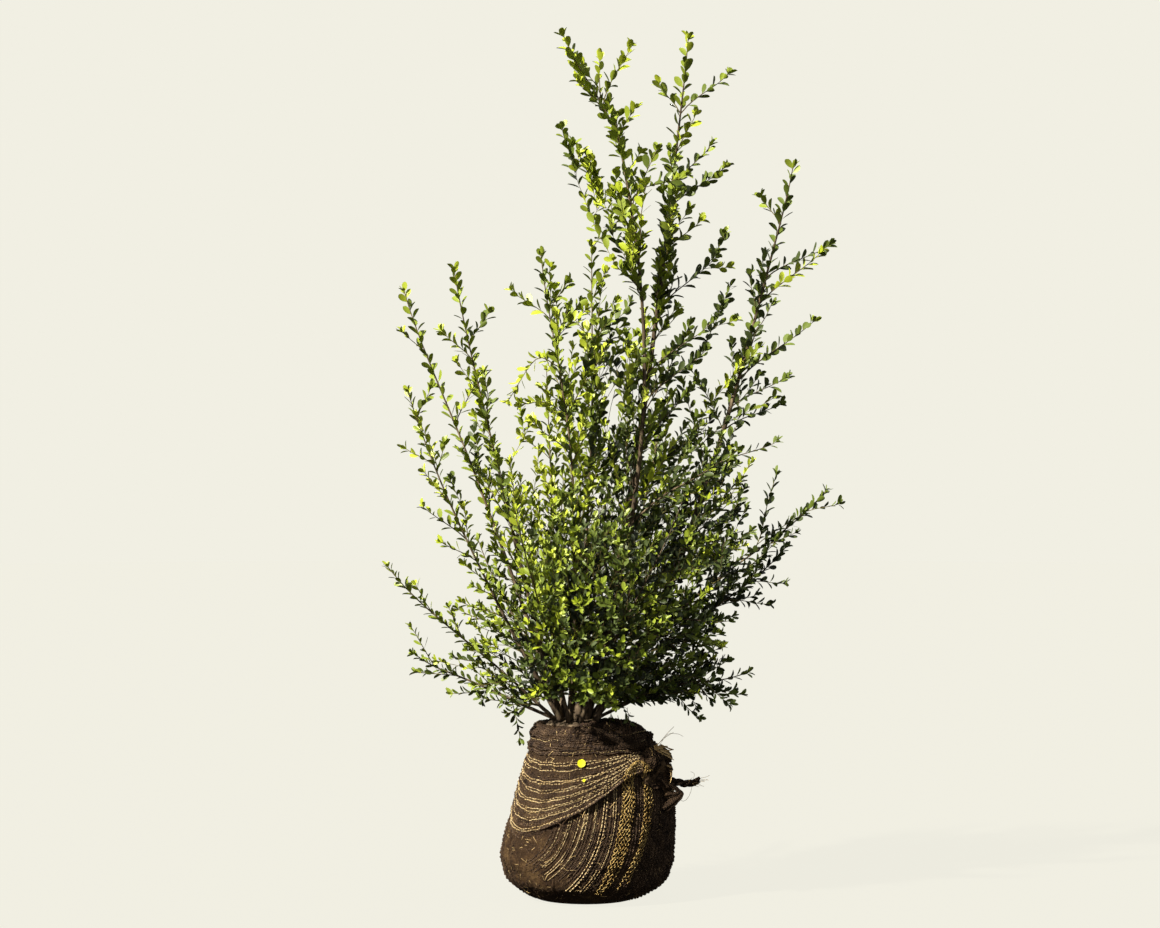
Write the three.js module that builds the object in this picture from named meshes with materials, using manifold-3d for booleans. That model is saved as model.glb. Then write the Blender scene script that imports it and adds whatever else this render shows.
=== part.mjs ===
// A young evergreen shrub with many stems, lifted for sale with its roots in a ball of soil, which is wrapped
// in woven jute and tied by its corners. Millimetres, +Z up. The origin is the centre of the flat underside of
// the ball, +X is to the right of the front view and -Y points at the viewer.
//
// The shrub is made of limbs and of masses of foliage. A limb is one tapering, curved stem. A mass is the hull
// of leaves round the upper part of a limb, with a lobe for each long side shoot, or a mound of leaves in the
// middle of the plant. Limbs stay whole, and the masses are cut round them.
import * as THREE from "three";
import { mergeVertices } from "three/addons/utils/BufferGeometryUtils.js";
import Module from "manifold-3d";

const wasm = await Module();
wasm.setup();

// ---- Driving dimensions ----
const GAP = 0.3; // kept between touching pieces
const SOIL_LEVEL = 253; // top of the soil in the ball, where the stems are cut off
const RIM_HEIGHT = 261; // top of the rolled jute rim round it
const STOOL = { x: -16, y: 0, halfWidth: 46, halfDepth: 44, height: 12 }; // the old root crown, cut off level
const SOIL_MOUND = { x: 2, y: 0, halfWidth: 57, halfDepth: 58, height: 9 };
const SAG = 0.06; // of a side shoot, as a share of its length
const FOOT_LEVEL = SOIL_LEVEL + STOOL.height + 2 * GAP; // where the limbs stand on it

// The ball's outline: how far it reaches left, right and to the front and back at each height.
const BALL = [
  { z: 0, left: 76, right: 74, deep: 76 },
  { z: 6, left: 94, right: 92, deep: 94 },
  { z: 26, left: 120, right: 121, deep: 118 },
  { z: 62, left: 130, right: 130, deep: 126 },
  { z: 112, left: 119, right: 132, deep: 124 },
  { z: 162, left: 103, right: 134, deep: 116 },
  { z: 206, left: 91, right: 122, deep: 104 },
  { z: 238, left: 80, right: 94, deep: 86 },
  { z: RIM_HEIGHT - 3, left: 77, right: 76, deep: 77 },
  { z: RIM_HEIGHT, left: 72, right: 71, deep: 72 },
  { z: SOIL_LEVEL, left: 66, right: 65, deep: 66 },
];
const BALL_SIDES = 24;

const LIMB_SIDES = 5;
const LIMB_STEPS = 6;
const LOBE_SIDES = 4;
const LOBE_RINGS = 3;
const SLEEVE_SIDES = 5;
const SLEEVE_RINGS = 5;
const MOUND_SIDES = 9;
const MOUND_RINGS = 6;
const DOME_SIDES = 12;
const DOME_RINGS = 3;
const ROLL_SIDES = 7;
const ROLL_RINGS = 5;

// Each limb runs from its foot on the stool to its tip. With a splay under 1 it leaves outwards and then
// straightens up, and with one over 1 it rises first and then arches over. Bow is how far its middle swings off
// that course. Thick is its radius at the foot, and ends is how far up the solid limb goes before it is only a
// twig in its foliage. Sleeves are the leaves round the limb itself, from one share of the way up to another,
// and fat is how far they stand out. Lobes are its long side shoots, each from a share of the way up to a tip.
const LIMBS = [
  {
    name: "trunk",
    foot: [-14, 2], tip: [155, 18, 1297], splay: 0.56, thick: 8.2, ends: 0.84,
    sleeves: [{ from: 0.46, to: 0.8, fat: 24 }, { from: 0.72, to: 1, fat: 15 }],
    lobes: [
      { at: 0.56, tip: [200, 44, 970], fat: 16 },
      { at: 0.67, tip: [175, -6, 1021], fat: 11 },
      { at: 0.72, tip: [128, -26, 1125], fat: 16 },
      { at: 0.73, tip: [212, 34, 1105], fat: 13 },
      { at: 0.76, tip: [190, 0, 1135], fat: 12 },
      { at: 0.84, tip: [111, 38, 1231], fat: 14 },
      { at: 0.87, tip: [215, -4, 1241], fat: 13 },
      { at: 0.62, tip: [130, 120, 1021], fat: 15 },
      { at: 0.7, tip: [150, -84, 1081], fat: 14 },
    ],
  },
  {
    name: "leader",
    foot: [0, -9], tip: [21, -22, 1262], splay: 1, bow: [76, -20, 0], thick: 5.2, ends: 0.84,
    sleeves: [{ from: 0.5, to: 0.86, fat: 22 }, { from: 0.74, to: 1, fat: 15 }],
    lobes: [
      { at: 0.875, tip: [-37, -30, 1293], fat: 14 },
      { at: 0.875, tip: [68, -12, 1282], fat: 14 },
      { at: 0.86, tip: [73, -38, 1186], fat: 12 },
      { at: 0.77, tip: [82, -4, 1123], fat: 16 },
      { at: 0.75, tip: [106, -66, 1121], fat: 17 },
      { at: 0.74, tip: [-36, -50, 1153], fat: 25 },
      { at: 0.7, tip: [-3, -10, 1055], fat: 17 },
      { at: 0.66, tip: [40, -70, 957], fat: 12 },
      { at: 0.7, tip: [60, 76, 1041], fat: 14 },
      { at: 0.7, tip: [48, -128, 1051], fat: 15 },
    ],
  },
  {
    name: "right_stem",
    foot: [10, 3], tip: [315, 30, 1105], splay: 0.58, thick: 7.5, ends: 0.82,
    sleeves: [{ from: 0.36, to: 0.76, fat: 24 }, { from: 0.7, to: 1, fat: 17 }],
    lobes: [
      { at: 0.48, tip: [181, 40, 829], fat: 14 },
      { at: 0.51, tip: [302, 70, 748], fat: 13 },
      { at: 0.53, tip: [304, -24, 785], fat: 17 },
      { at: 0.59, tip: [349, 34, 871], fat: 15 },
      { at: 0.63, tip: [206, -10, 895], fat: 20 },
      { at: 0.72, tip: [198, 58, 975], fat: 12 },
      { at: 0.75, tip: [211, 2, 1003], fat: 17 },
      { at: 0.77, tip: [371, 12, 985], fat: 12 },
      { at: 0.86, tip: [268, 40, 1061], fat: 12 },
      { at: 0.55, tip: [250, 160, 841], fat: 15 },
      { at: 0.62, tip: [276, -84, 891], fat: 14 },
      { at: 0.72, tip: [280, 124, 981], fat: 13 },
    ],
  },
  {
    name: "right_arching_bough",
    foot: [14, -26], tip: [379, -62, 594], splay: 1.6, thick: 4.5, ends: 0.5,
    sleeves: [{ from: 0.45, to: 0.82, fat: 20 }, { from: 0.7, to: 1, fat: 14 }],
    lobes: [
      { at: 0.7, tip: [286, -70, 639], fat: 16 },
      { at: 0.86, tip: [361, -50, 613], fat: 11 },
      { at: 0.66, tip: [210, -150, 551], fat: 15 },
    ],
  },
  {
    name: "right_low_bough",
    foot: [14, 16], tip: [313, 84, 526], splay: 1.2, thick: 4.2, ends: 0.3,
    sleeves: [{ from: 0.36, to: 0.84, fat: 22 }, { from: 0.66, to: 1, fat: 18 }],
    lobes: [
      { at: 0.58, tip: [286, 40, 440], fat: 10 },
      { at: 0.66, tip: [308, 60, 471], fat: 10 },
      { at: 0.7, tip: [232, 166, 470], fat: 15 },
    ],
  },
  {
    name: "right_ground_bough",
    foot: [12, -12], tip: [249, -34, 339], splay: 1, bow: [0, 0, 16], thick: 3.2, ends: 0.42,
    sleeves: [{ from: 0.42, to: 1, fat: 13 }],
    lobes: [
      { at: 0.62, tip: [176, -40, 272], fat: 12 },
      { at: 0.72, tip: [221, -60, 294], fat: 10 },
    ],
  },
  {
    name: "left_tall_stem",
    foot: [-38, -8], tip: [-199, -22, 947], splay: 0.9, thick: 5.2, ends: 0.56,
    sleeves: [{ from: 0.46, to: 0.84, fat: 22 }, { from: 0.72, to: 1, fat: 13 }],
    lobes: [
      { at: 0.55, tip: [-68, -40, 748], fat: 13 },
      { at: 0.6, tip: [-60, 6, 815], fat: 14 },
      { at: 0.72, tip: [-218, -30, 854], fat: 10 },
      { at: 0.84, tip: [-147, -14, 883], fat: 14 },
      { at: 0.62, tip: [-150, -110, 791], fat: 14 },
    ],
  },
  {
    name: "left_outer_stem",
    foot: [-40, 12], tip: [-280, 62, 919], splay: 1.1, thick: 5, ends: 0.54,
    sleeves: [{ from: 0.44, to: 0.82, fat: 22 }, { from: 0.7, to: 1, fat: 14 }],
    lobes: [
      { at: 0.66, tip: [-168, 70, 791], fat: 15 },
      { at: 0.84, tip: [-281, 44, 855], fat: 11 },
      { at: 0.56, tip: [-176, 150, 731], fat: 14 },
    ],
  },
  {
    name: "left_front_bough",
    foot: [-38, -24], tip: [-264, -94, 761], splay: 1, bow: [-14, -4, 0], thick: 4.4, ends: 0.46,
    sleeves: [{ from: 0.42, to: 0.8, fat: 17 }, { from: 0.66, to: 1, fat: 15 }],
    lobes: [
      { at: 0.42, tip: [-244, -96, 592], fat: 14 },
      { at: 0.62, tip: [-210, -120, 685], fat: 14 },
      { at: 0.66, tip: [-271, -66, 678], fat: 10 },
      { at: 0.88, tip: [-231, -104, 767], fat: 11 },
    ],
  },
  {
    name: "left_low_bough",
    foot: [-46, -10], tip: [-299, -72, 503], splay: 1, thick: 3.6, ends: 0.26,
    sleeves: [{ from: 0.32, to: 0.76, fat: 18 }, { from: 0.54, to: 1, fat: 13 }],
    lobes: [
      { at: 0.3, tip: [-185, -30, 448], fat: 14 },
      { at: 0.48, tip: [-209, -56, 441], fat: 14 },
    ],
  },
  {
    name: "left_ground_bough",
    foot: [-47, 4], tip: [-270, 50, 364], splay: 0.95, thick: 3.2, ends: 0.5,
    sleeves: [{ from: 0.3, to: 1, fat: 17 }],
    lobes: [{ at: 0.42, tip: [-271, 20, 407], fat: 13 }],
  },
  {
    name: "mid_left_stem",
    foot: [-24, -20], tip: [-68, -62, 965], splay: 2, bow: [16, -14, 0], thick: 4.8, ends: 0.5,
    sleeves: [{ from: 0.4, to: 0.82, fat: 22 }, { from: 0.74, to: 1, fat: 15 }],
    lobes: [
      { at: 0.55, tip: [-80, -90, 719], fat: 13 },
      { at: 0.6, tip: [-66, -76, 769], fat: 15 },
      { at: 0.8, tip: [-112, -50, 914], fat: 12 },
      { at: 0.81, tip: [-28, -84, 923], fat: 16 },
      { at: 0.78, tip: [-8, -40, 899], fat: 12 },
      { at: 0.7, tip: [-44, -150, 871], fat: 14 },
    ],
  },
  {
    name: "mid_stem",
    foot: [-22, 16], tip: [9, 62, 989], splay: 1, bow: [12, 18, 0], thick: 4.8, ends: 0.5,
    sleeves: [{ from: 0.66, to: 1, fat: 19 }],
    lobes: [
      { at: 0.78, tip: [44, 20, 886], fat: 14 },
      { at: 0.8, tip: [46, 64, 904], fat: 13 },
      { at: 0.89, tip: [30, 60, 948], fat: 9 },
      { at: 0.78, tip: [-26, 130, 900], fat: 14 },
    ],
  },
  {
    name: "back_left_stem",
    foot: [-36, 28], tip: [-62, 206, 803], splay: 1, bow: [0, 14, 0], thick: 4.4, ends: 0.13,
    sleeves: [{ from: 0.4, to: 1, fat: 27 }],
    lobes: [
      { at: 0.72, tip: [-104, 214, 700], fat: 16 },
      { at: 0.8, tip: [-14, 236, 746], fat: 15 },
    ],
  },
  {
    name: "back_right_stem",
    foot: [4, 30], tip: [136, 232, 803], splay: 1, bow: [10, 20, 0], thick: 4.2, ends: 0.16,
    sleeves: [{ from: 0.34, to: 1, fat: 27 }],
    lobes: [
      { at: 0.68, tip: [184, 246, 680], fat: 16 },
      { at: 0.8, tip: [70, 240, 766], fat: 15 },
    ],
  },
  {
    name: "back_low_bough",
    foot: [-14, 32], tip: [36, 296, 566], splay: 1.1, thick: 3.8, ends: 0.2,
    sleeves: [{ from: 0.4, to: 1, fat: 25 }],
    lobes: [{ at: 0.7, tip: [-30, 274, 500], fat: 15 }],
  },
  {
    name: "back_left_low_bough",
    foot: [-42, 20], tip: [-172, 186, 536], splay: 1.1, thick: 3.6, ends: 0.24,
    sleeves: [{ from: 0.34, to: 1, fat: 23 }],
    lobes: [{ at: 0.5, tip: [-110, 226, 461], fat: 14 }],
  },
  {
    name: "front_left_bough",
    foot: [-26, -32], tip: [-102, -250, 590], splay: 1.1, thick: 3.8, ends: 0.2,
    sleeves: [{ from: 0.4, to: 1, fat: 25 }],
    lobes: [{ at: 0.66, tip: [-146, -206, 500], fat: 15 }],
  },
  {
    name: "front_right_bough",
    foot: [-8, -33], tip: [138, -246, 602], splay: 1.1, thick: 4, ends: 0.2,
    sleeves: [{ from: 0.4, to: 1, fat: 26 }],
    lobes: [{ at: 0.66, tip: [176, -196, 512], fat: 15 }],
  },
];

// The mounds of leaves in the middle, from the top down: centre, half sizes and the shoots that stand out.
const MOUNDS = [
  {
    name: "upper_middle", at: [38, -4, 752], half: [92, 88, 104],
    lobes: [
      { from: [100, -30, 790], tip: [188, -60, 865], fat: 16 },
      { from: [104, -10, 740], tip: [182, -20, 826], fat: 14 },
      { from: [50, 50, 810], tip: [70, 132, 905], fat: 15 },
      { from: [20, -50, 790], tip: [0, -136, 880], fat: 14 },
    ],
  },
  {
    name: "middle_right", at: [172, 6, 598], half: [72, 100, 128],
    lobes: [
      { from: [206, 0, 630], tip: [290, -18, 688], fat: 17 },
      { from: [190, 60, 620], tip: [240, 154, 716], fat: 15 },
      { from: [180, -60, 600], tip: [222, -150, 676], fat: 15 },
    ],
  },
  {
    name: "middle_left", at: [-78, -8, 548], half: [74, 96, 96],
    lobes: [
      { from: [-100, 50, 580], tip: [-150, 136, 680], fat: 15 },
      { from: [-90, -50, 580], tip: [-132, -146, 664], fat: 15 },
    ],
  },
  { name: "centre", at: [28, -6, 482], half: [88, 112, 186], lobes: [] },
  {
    name: "low_left", at: [-104, 0, 384], half: [80, 110, 80],
    lobes: [
      { from: [-130, -40, 392], tip: [-190, -66, 450], fat: 14 },
      { from: [-120, -40, 410], tip: [-170, -96, 476], fat: 14 },
      { from: [-140, 50, 380], tip: [-204, 116, 430], fat: 15 },
      { from: [-100, -20, 340], tip: [-126, -34, 278], fat: 15 },
    ],
  },
  {
    name: "low_right", at: [122, -2, 388], half: [88, 108, 74],
    lobes: [
      { from: [150, 60, 390], tip: [214, 136, 440], fat: 15 },
      { from: [150, -60, 380], tip: [214, -122, 424], fat: 15 },
    ],
  },
  {
    name: "back", at: [30, 128, 532], half: [134, 96, 176],
    lobes: [
      { from: [70, 180, 600], tip: [124, 256, 700], fat: 16 },
      { from: [90, 170, 440], tip: [150, 246, 500], fat: 16 },
      { from: [-50, 170, 440], tip: [-112, 238, 506], fat: 16 },
    ],
  },
  {
    name: "front", at: [10, -122, 452], half: [118, 88, 124],
    lobes: [
      { from: [10, -160, 430], tip: [22, -254, 486], fat: 16 },
      { from: [-70, -140, 380], tip: [-126, -196, 424], fat: 15 },
    ],
  },
];

// The jute at the shoulder of the ball: where two corners are tied in a knot, the loose end that sticks out of
// it, and the fold under it that stands off the ball like an ear.
const KNOT = { at: [90, -52, 193], half: [38, 36, 44] };
const TAIL = { from: [122, -60, 187], to: [175, -62, 180], thick: 9, bow: -4 };
const EAR = { from: [112, -66, 132], to: [146, -58, 164], thick: 15, bow: 4 };

const COLOURS = {
  bark: { color: 0x4a3b2c, roughness: 0.85, metalness: 0 },
  foliage: { color: 0x4c6a1e, roughness: 0.55, metalness: 0 },
  jute: { color: 0x4b3a2c, roughness: 0.95, metalness: 0 },
  soil: { color: 0x2e241b, roughness: 1, metalness: 0 },
};

// ---- Shapes ----
// A mesh's faces with shared corners, as a solid that can be joined and cut.
function solidOf(geometry) {
  const bare = geometry.clone();
  bare.deleteAttribute("normal");
  bare.deleteAttribute("uv");
  const merged = mergeVertices(bare, 1e-3);
  return new wasm.Manifold(
    new wasm.Mesh({
      numProp: 3,
      vertProperties: new Float32Array(merged.attributes.position.array),
      triVerts: new Uint32Array(merged.index.array),
    }),
  );
}

function geometryOf(solid) {
  const mesh = solid.getMesh();
  const corners = new Float32Array(mesh.numVert * 3);
  for (let i = 0; i < mesh.numVert; i++) {
    corners.set(mesh.vertProperties.subarray(i * mesh.numProp, i * mesh.numProp + 3), i * 3);
  }
  const geometry = new THREE.BufferGeometry();
  geometry.setAttribute("position", new THREE.BufferAttribute(corners, 3));
  geometry.setIndex(new THREE.BufferAttribute(new Uint32Array(mesh.triVerts), 1));
  geometry.computeVertexNormals();
  return geometry;
}

// Moves every corner of a geometry to where the rule says.
function reshape(geometry, rule) {
  const position = geometry.attributes.position;
  const corner = new THREE.Vector3();
  for (let i = 0; i < position.count; i++) {
    corner.fromBufferAttribute(position, i);
    const moved = rule(corner);
    position.setXYZ(i, moved.x, moved.y, moved.z);
  }
  return geometry;
}

// How far round a corner of a sphere or cylinder is, and whether it lies on its axis.
function around(corner) {
  const onAxis = Math.hypot(corner.x, corner.z) < 1e-4;
  return { onAxis, turn: onAxis ? 0 : Math.atan2(-corner.z, corner.x) };
}

// Two directions across a line at a point of it, turning as little as they can along a curve in a plane.
function across(tangent, side) {
  const out = new THREE.Vector3().crossVectors(side, tangent).normalize();
  return [out, new THREE.Vector3().crossVectors(tangent, out).normalize()];
}

// The level direction across the way from one point to another.
function sideOf(from, to) {
  const chord = new THREE.Vector3().subVectors(to, from);
  const side = new THREE.Vector3(-chord.y, chord.x, 0);
  return side.length() < 1e-6 ? new THREE.Vector3(1, 0, 0) : side.normalize();
}

function directionOf(line, along) {
  return new THREE.Vector3().subVectors(line(along + 0.01), line(Math.max(0, along - 0.01))).normalize();
}

// A spindle of leaves along a line, pointed at its far end, uneven all round, and grown by some clearance.
function spindle({ line, fat, sides, rings, seed, grow = 0 }) {
  const side = sideOf(line(0), line(1));
  return reshape(new THREE.SphereGeometry(1, sides, rings), (c) => {
    const along = (1 + c.y) / 2;
    const tangent = directionOf(line, along);
    const [out, over] = across(tangent, side);
    const { onAxis, turn } = around(c);
    const swell = 1.75 * Math.sqrt(along) * (1 - along) ** 0.75;
    const lumps = 1 + 0.16 * Math.sin(3 * turn + 2.1 * seed) * Math.sin(9 * along + seed);
    const reach = onAxis ? 0 : fat * swell * lumps + grow;
    const end = (along < 1e-4 ? -1 : along > 1 - 1e-4 ? 1 : 0) * grow;
    return line(along)
      .addScaledVector(out, reach * Math.cos(turn))
      .addScaledVector(over, reach * Math.sin(turn))
      .addScaledVector(tangent, end);
  });
}

// A limb's middle line, as a function of the share of the way up. Start keeps its foot from lying flat.
const START = 0.03;
function limbLine(limb) {
  const foot = new THREE.Vector3(...limb.foot, FOOT_LEVEL);
  const [tipX, tipY, tipZ] = limb.tip;
  const [bowX, bowY, bowZ] = limb.bow ?? [0, 0, 0];
  const reach = (1 + START) ** limb.splay - START ** limb.splay;
  return (rise) => {
    const gone = ((rise + START) ** limb.splay - START ** limb.splay) / reach;
    const swing = Math.sin(Math.PI * rise);
    return new THREE.Vector3(
      foot.x + (tipX - foot.x) * gone + bowX * swing,
      foot.y + (tipY - foot.y) * gone + bowY * swing,
      foot.z + (tipZ - foot.z) * rise + bowZ * swing,
    );
  };
}

const TWIG = 1.6; // radius of a limb where its solid ends
function limbThickness(limb, rise) {
  const shrink = Math.min(1, rise / limb.ends);
  return limb.thick + (TWIG - limb.thick) * shrink ** 0.8;
}

// A tapering limb, standing flat on the stool, grown by some clearance.
function limbGeometry(limb, grow = 0) {
  const { line, ends } = limb;
  const side = sideOf(line(0), line(1));
  const steps = Math.ceil(LIMB_STEPS * ends);
  const blank = new THREE.CylinderGeometry(1, 1, 1, LIMB_SIDES, steps);
  return reshape(blank, (c) => {
    const share = c.y + 0.5;
    const rise = ends * share;
    const tangent = directionOf(line, rise);
    const [out, over] = across(tangent, side);
    const { onAxis, turn } = around(c);
    const reach = onAxis ? 0 : limbThickness(limb, rise) + grow;
    const corner = line(rise)
      .addScaledVector(out, reach * Math.cos(turn))
      .addScaledVector(over, reach * Math.sin(turn));
    if (share > 1 - 1e-4) corner.addScaledVector(tangent, grow);
    if (share < 1e-4) corner.z = FOOT_LEVEL - grow;
    return corner;
  });
}

// A point along the straight way between two, raised in the middle, or sagging where the rise is negative.
function archedLine(start, end, rise) {
  return (along) => start.clone().lerp(end, along).setZ(
    start.z + (end.z - start.z) * along + rise * Math.sin(Math.PI * along),
  );
}

// A long side shoot in leaf, which sags a little between its root and its tip.
function lobeOf(root, lobe, seed, grow) {
  const tip = new THREE.Vector3(...lobe.tip);
  const line = archedLine(root, tip, -SAG * root.distanceTo(tip));
  return solidOf(spindle({ line, fat: lobe.fat, sides: LOBE_SIDES, rings: LOBE_RINGS, seed, grow }));
}

// A limb's foliage: the leaves round the limb and its side shoots.
function massOf(limb, grow = 0) {
  const sleeves = limb.sleeves.map(({ from, to, fat }, i) => {
    const line = (along) => limb.line(from + (to - from) * along);
    return solidOf(spindle({ line, fat, sides: SLEEVE_SIDES, rings: SLEEVE_RINGS, seed: limb.seed + i, grow }));
  });
  const lobes = limb.lobes.map((lobe, i) => lobeOf(limb.line(lobe.at), lobe, limb.seed + 5 * i, grow));
  return [...sleeves, ...lobes].reduce((whole, piece) => whole.add(piece));
}

// A rounded lump, uneven all round, and grown by some clearance.
function lumpOf({ at, half }, seed, grow = 0) {
  return solidOf(
    reshape(new THREE.SphereGeometry(1, MOUND_SIDES, MOUND_RINGS), (c) => {
      const { turn } = around(c);
      const waves = Math.sin(3 * turn + seed) * Math.sin(4 * c.y + seed);
      const lumps = 1 + 0.13 * waves + 0.07 * Math.sin(5 * turn - seed);
      const [x, y, z] = half.map((h) => h * lumps + grow);
      return new THREE.Vector3(at[0] + c.x * x, at[1] - c.z * y, at[2] + c.y * z);
    }),
  );
}

function moundOf(mound, seed, grow = 0) {
  const lobes = mound.lobes.map((lobe, i) => lobeOf(new THREE.Vector3(...lobe.from), lobe, seed + i, grow));
  return lobes.reduce((whole, piece) => whole.add(piece), lumpOf(mound, seed, grow));
}

// The largest of the pieces that a cut leaves.
function largest(solid) {
  return solid.decompose().reduce((a, b) => (a.volume() > b.volume() ? a : b));
}

// A low mound with a flat top and an uneven edge, standing at a level and grown by some clearance.
function dome({ x, y, halfWidth, halfDepth, height }, level, grow = 0) {
  return solidOf(
    reshape(new THREE.CylinderGeometry(1, 1, 1, DOME_SIDES, DOME_RINGS), (c) => {
      const { turn } = around(c);
      const lumps = 1 + 0.06 * Math.sin(4 * turn + 1) + 0.04 * Math.sin(7 * turn);
      const share = c.y + 0.5;
      const shrink = 1 - 0.25 * share ** 2;
      return new THREE.Vector3(
        x + c.x * shrink * (halfWidth * lumps + grow),
        y - c.z * shrink * (halfDepth * lumps + grow),
        level + share * (height + grow),
      );
    }),
  );
}

// The wrapped ball, grown outwards by some clearance. Its top ring turns in to the soil inside the jute rim.
function ballGeometry(grow = 0) {
  const steps = BALL.length - 1;
  return reshape(new THREE.CylinderGeometry(1, 1, 1, BALL_SIDES, steps), (c) => {
    const { z, left, right, deep } = BALL[Math.round((c.y + 0.5) * steps)];
    const { onAxis, turn } = around(c);
    const level = z > SOIL_LEVEL ? z + grow : z;
    if (onAxis) return new THREE.Vector3(0, 0, level);
    const wide = Math.cos(turn) < 0 ? left : right;
    const lumps = z > 0 && z < SOIL_LEVEL ? 1 + 0.012 * Math.sin(5 * turn + z / 40) : 1;
    return new THREE.Vector3(
      (wide * lumps + grow) * Math.cos(turn), (deep * lumps + grow) * Math.sin(turn), level,
    );
  });
}

// A twisted or folded roll of cloth.
function rollOf({ from, to, thick, bow }, seed, grow = 0) {
  const line = archedLine(new THREE.Vector3(...from), new THREE.Vector3(...to), bow);
  return solidOf(spindle({ line, fat: thick, sides: ROLL_SIDES, rings: ROLL_RINGS, seed, grow }));
}

// ---- The part ----
const group = new THREE.Group();
function addNode(name, look, geometry) {
  const mesh = new THREE.Mesh(geometry, new THREE.MeshStandardMaterial(COLOURS[look]));
  mesh.name = name;
  group.add(mesh);
}

LIMBS.forEach((limb, i) => {
  limb.seed = i + 1;
  limb.line = limbLine(limb);
  addNode(limb.name, "bark", limbGeometry(limb));
});

// Foliage: each mound, and then each limb's mass, is cut round the limbs and round the foliage before it.
let taken = LIMBS.map((limb) => solidOf(limbGeometry(limb, GAP))).reduce((whole, piece) => whole.add(piece));
MOUNDS.forEach((mound, i) => {
  addNode(mound.name + "_foliage", "foliage", geometryOf(largest(moundOf(mound, i + 1).subtract(taken))));
  taken = taken.add(moundOf(mound, i + 1, GAP));
});
for (const limb of LIMBS) {
  addNode(limb.name + "_foliage", "foliage", geometryOf(largest(massOf(limb).subtract(taken))));
  taken = taken.add(massOf(limb, GAP));
}

// The stool that the limbs spring from, standing on the soil, and the soil mounded round it.
addNode("stem_base", "bark", geometryOf(dome(STOOL, SOIL_LEVEL + GAP)));
const stoolRoom = dome(STOOL, SOIL_LEVEL, 2 * GAP);
addNode("soil_top", "soil", geometryOf(largest(dome(SOIL_MOUND, SOIL_LEVEL + GAP).subtract(stoolRoom))));

// The wrapped ball and its tied jute.
addNode("root_ball", "jute", geometryOf(solidOf(ballGeometry())));
const ballRoom = solidOf(ballGeometry(1.5 * GAP));
addNode("wrap_knot", "jute", geometryOf(largest(lumpOf(KNOT, 2).subtract(ballRoom))));
const knotRoom = ballRoom.add(lumpOf(KNOT, 2, GAP));
addNode("wrap_tail", "jute", geometryOf(largest(rollOf(TAIL, 3).subtract(knotRoom))));
const tailRoom = knotRoom.add(rollOf(TAIL, 3, GAP));
addNode("wrap_ear", "jute", geometryOf(largest(rollOf(EAR, 4).subtract(tailRoom))));

export default group;
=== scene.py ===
import math

import bmesh
import bpy
import numpy as np
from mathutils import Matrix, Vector
from mathutils.bvhtree import BVHTree


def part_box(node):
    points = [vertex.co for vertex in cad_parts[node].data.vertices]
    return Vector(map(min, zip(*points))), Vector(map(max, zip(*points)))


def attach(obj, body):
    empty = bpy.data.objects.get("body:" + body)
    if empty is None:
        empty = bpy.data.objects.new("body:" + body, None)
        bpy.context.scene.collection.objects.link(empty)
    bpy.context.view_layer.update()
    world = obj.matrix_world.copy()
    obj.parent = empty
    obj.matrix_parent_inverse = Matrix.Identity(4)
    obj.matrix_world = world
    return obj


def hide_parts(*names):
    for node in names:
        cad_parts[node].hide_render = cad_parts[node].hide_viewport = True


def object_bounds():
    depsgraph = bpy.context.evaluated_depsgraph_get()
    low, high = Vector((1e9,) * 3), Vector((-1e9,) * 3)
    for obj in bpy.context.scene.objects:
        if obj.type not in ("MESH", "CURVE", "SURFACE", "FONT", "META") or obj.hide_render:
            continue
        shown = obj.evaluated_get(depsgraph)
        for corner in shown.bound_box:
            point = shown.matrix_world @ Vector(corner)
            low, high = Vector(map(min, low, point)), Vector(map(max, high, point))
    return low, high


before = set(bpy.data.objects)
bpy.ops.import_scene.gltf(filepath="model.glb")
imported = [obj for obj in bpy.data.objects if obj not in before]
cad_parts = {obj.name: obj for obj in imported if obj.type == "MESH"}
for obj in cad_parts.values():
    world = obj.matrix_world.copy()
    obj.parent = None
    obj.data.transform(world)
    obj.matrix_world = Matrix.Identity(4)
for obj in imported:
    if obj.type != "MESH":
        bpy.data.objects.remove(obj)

CAD_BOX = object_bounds()
UP = np.array([0.0, 0.0, 1.0])
MM = 0.001

LIMBS = [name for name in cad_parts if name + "_foliage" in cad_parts]
MASSES = [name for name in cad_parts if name.endswith("_foliage")]


# ---------------------------------------------------------------- node trees

class Wire:
    """A socket of a node tree that takes part in sums, so that a pattern is written as an expression."""

    def __init__(self, board, socket):
        self.board, self.socket = board, socket

    def _maths(self, operation, first, second=None):
        inputs = {0: first} if second is None else {0: first, 1: second}
        return self.board.add("ShaderNodeMath", {"operation": operation}, inputs)

    def __add__(self, other): return self._maths("ADD", self, other)
    def __radd__(self, other): return self._maths("ADD", other, self)
    def __sub__(self, other): return self._maths("SUBTRACT", self, other)
    def __rsub__(self, other): return self._maths("SUBTRACT", other, self)
    def __mul__(self, other): return self._maths("MULTIPLY", self, other)
    def __rmul__(self, other): return self._maths("MULTIPLY", other, self)
    def sine(self): return self._maths("SINE", self)
    def clipped(self): return self._maths("MINIMUM", self._maths("MAXIMUM", self, 0.0), 1.0)


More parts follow.
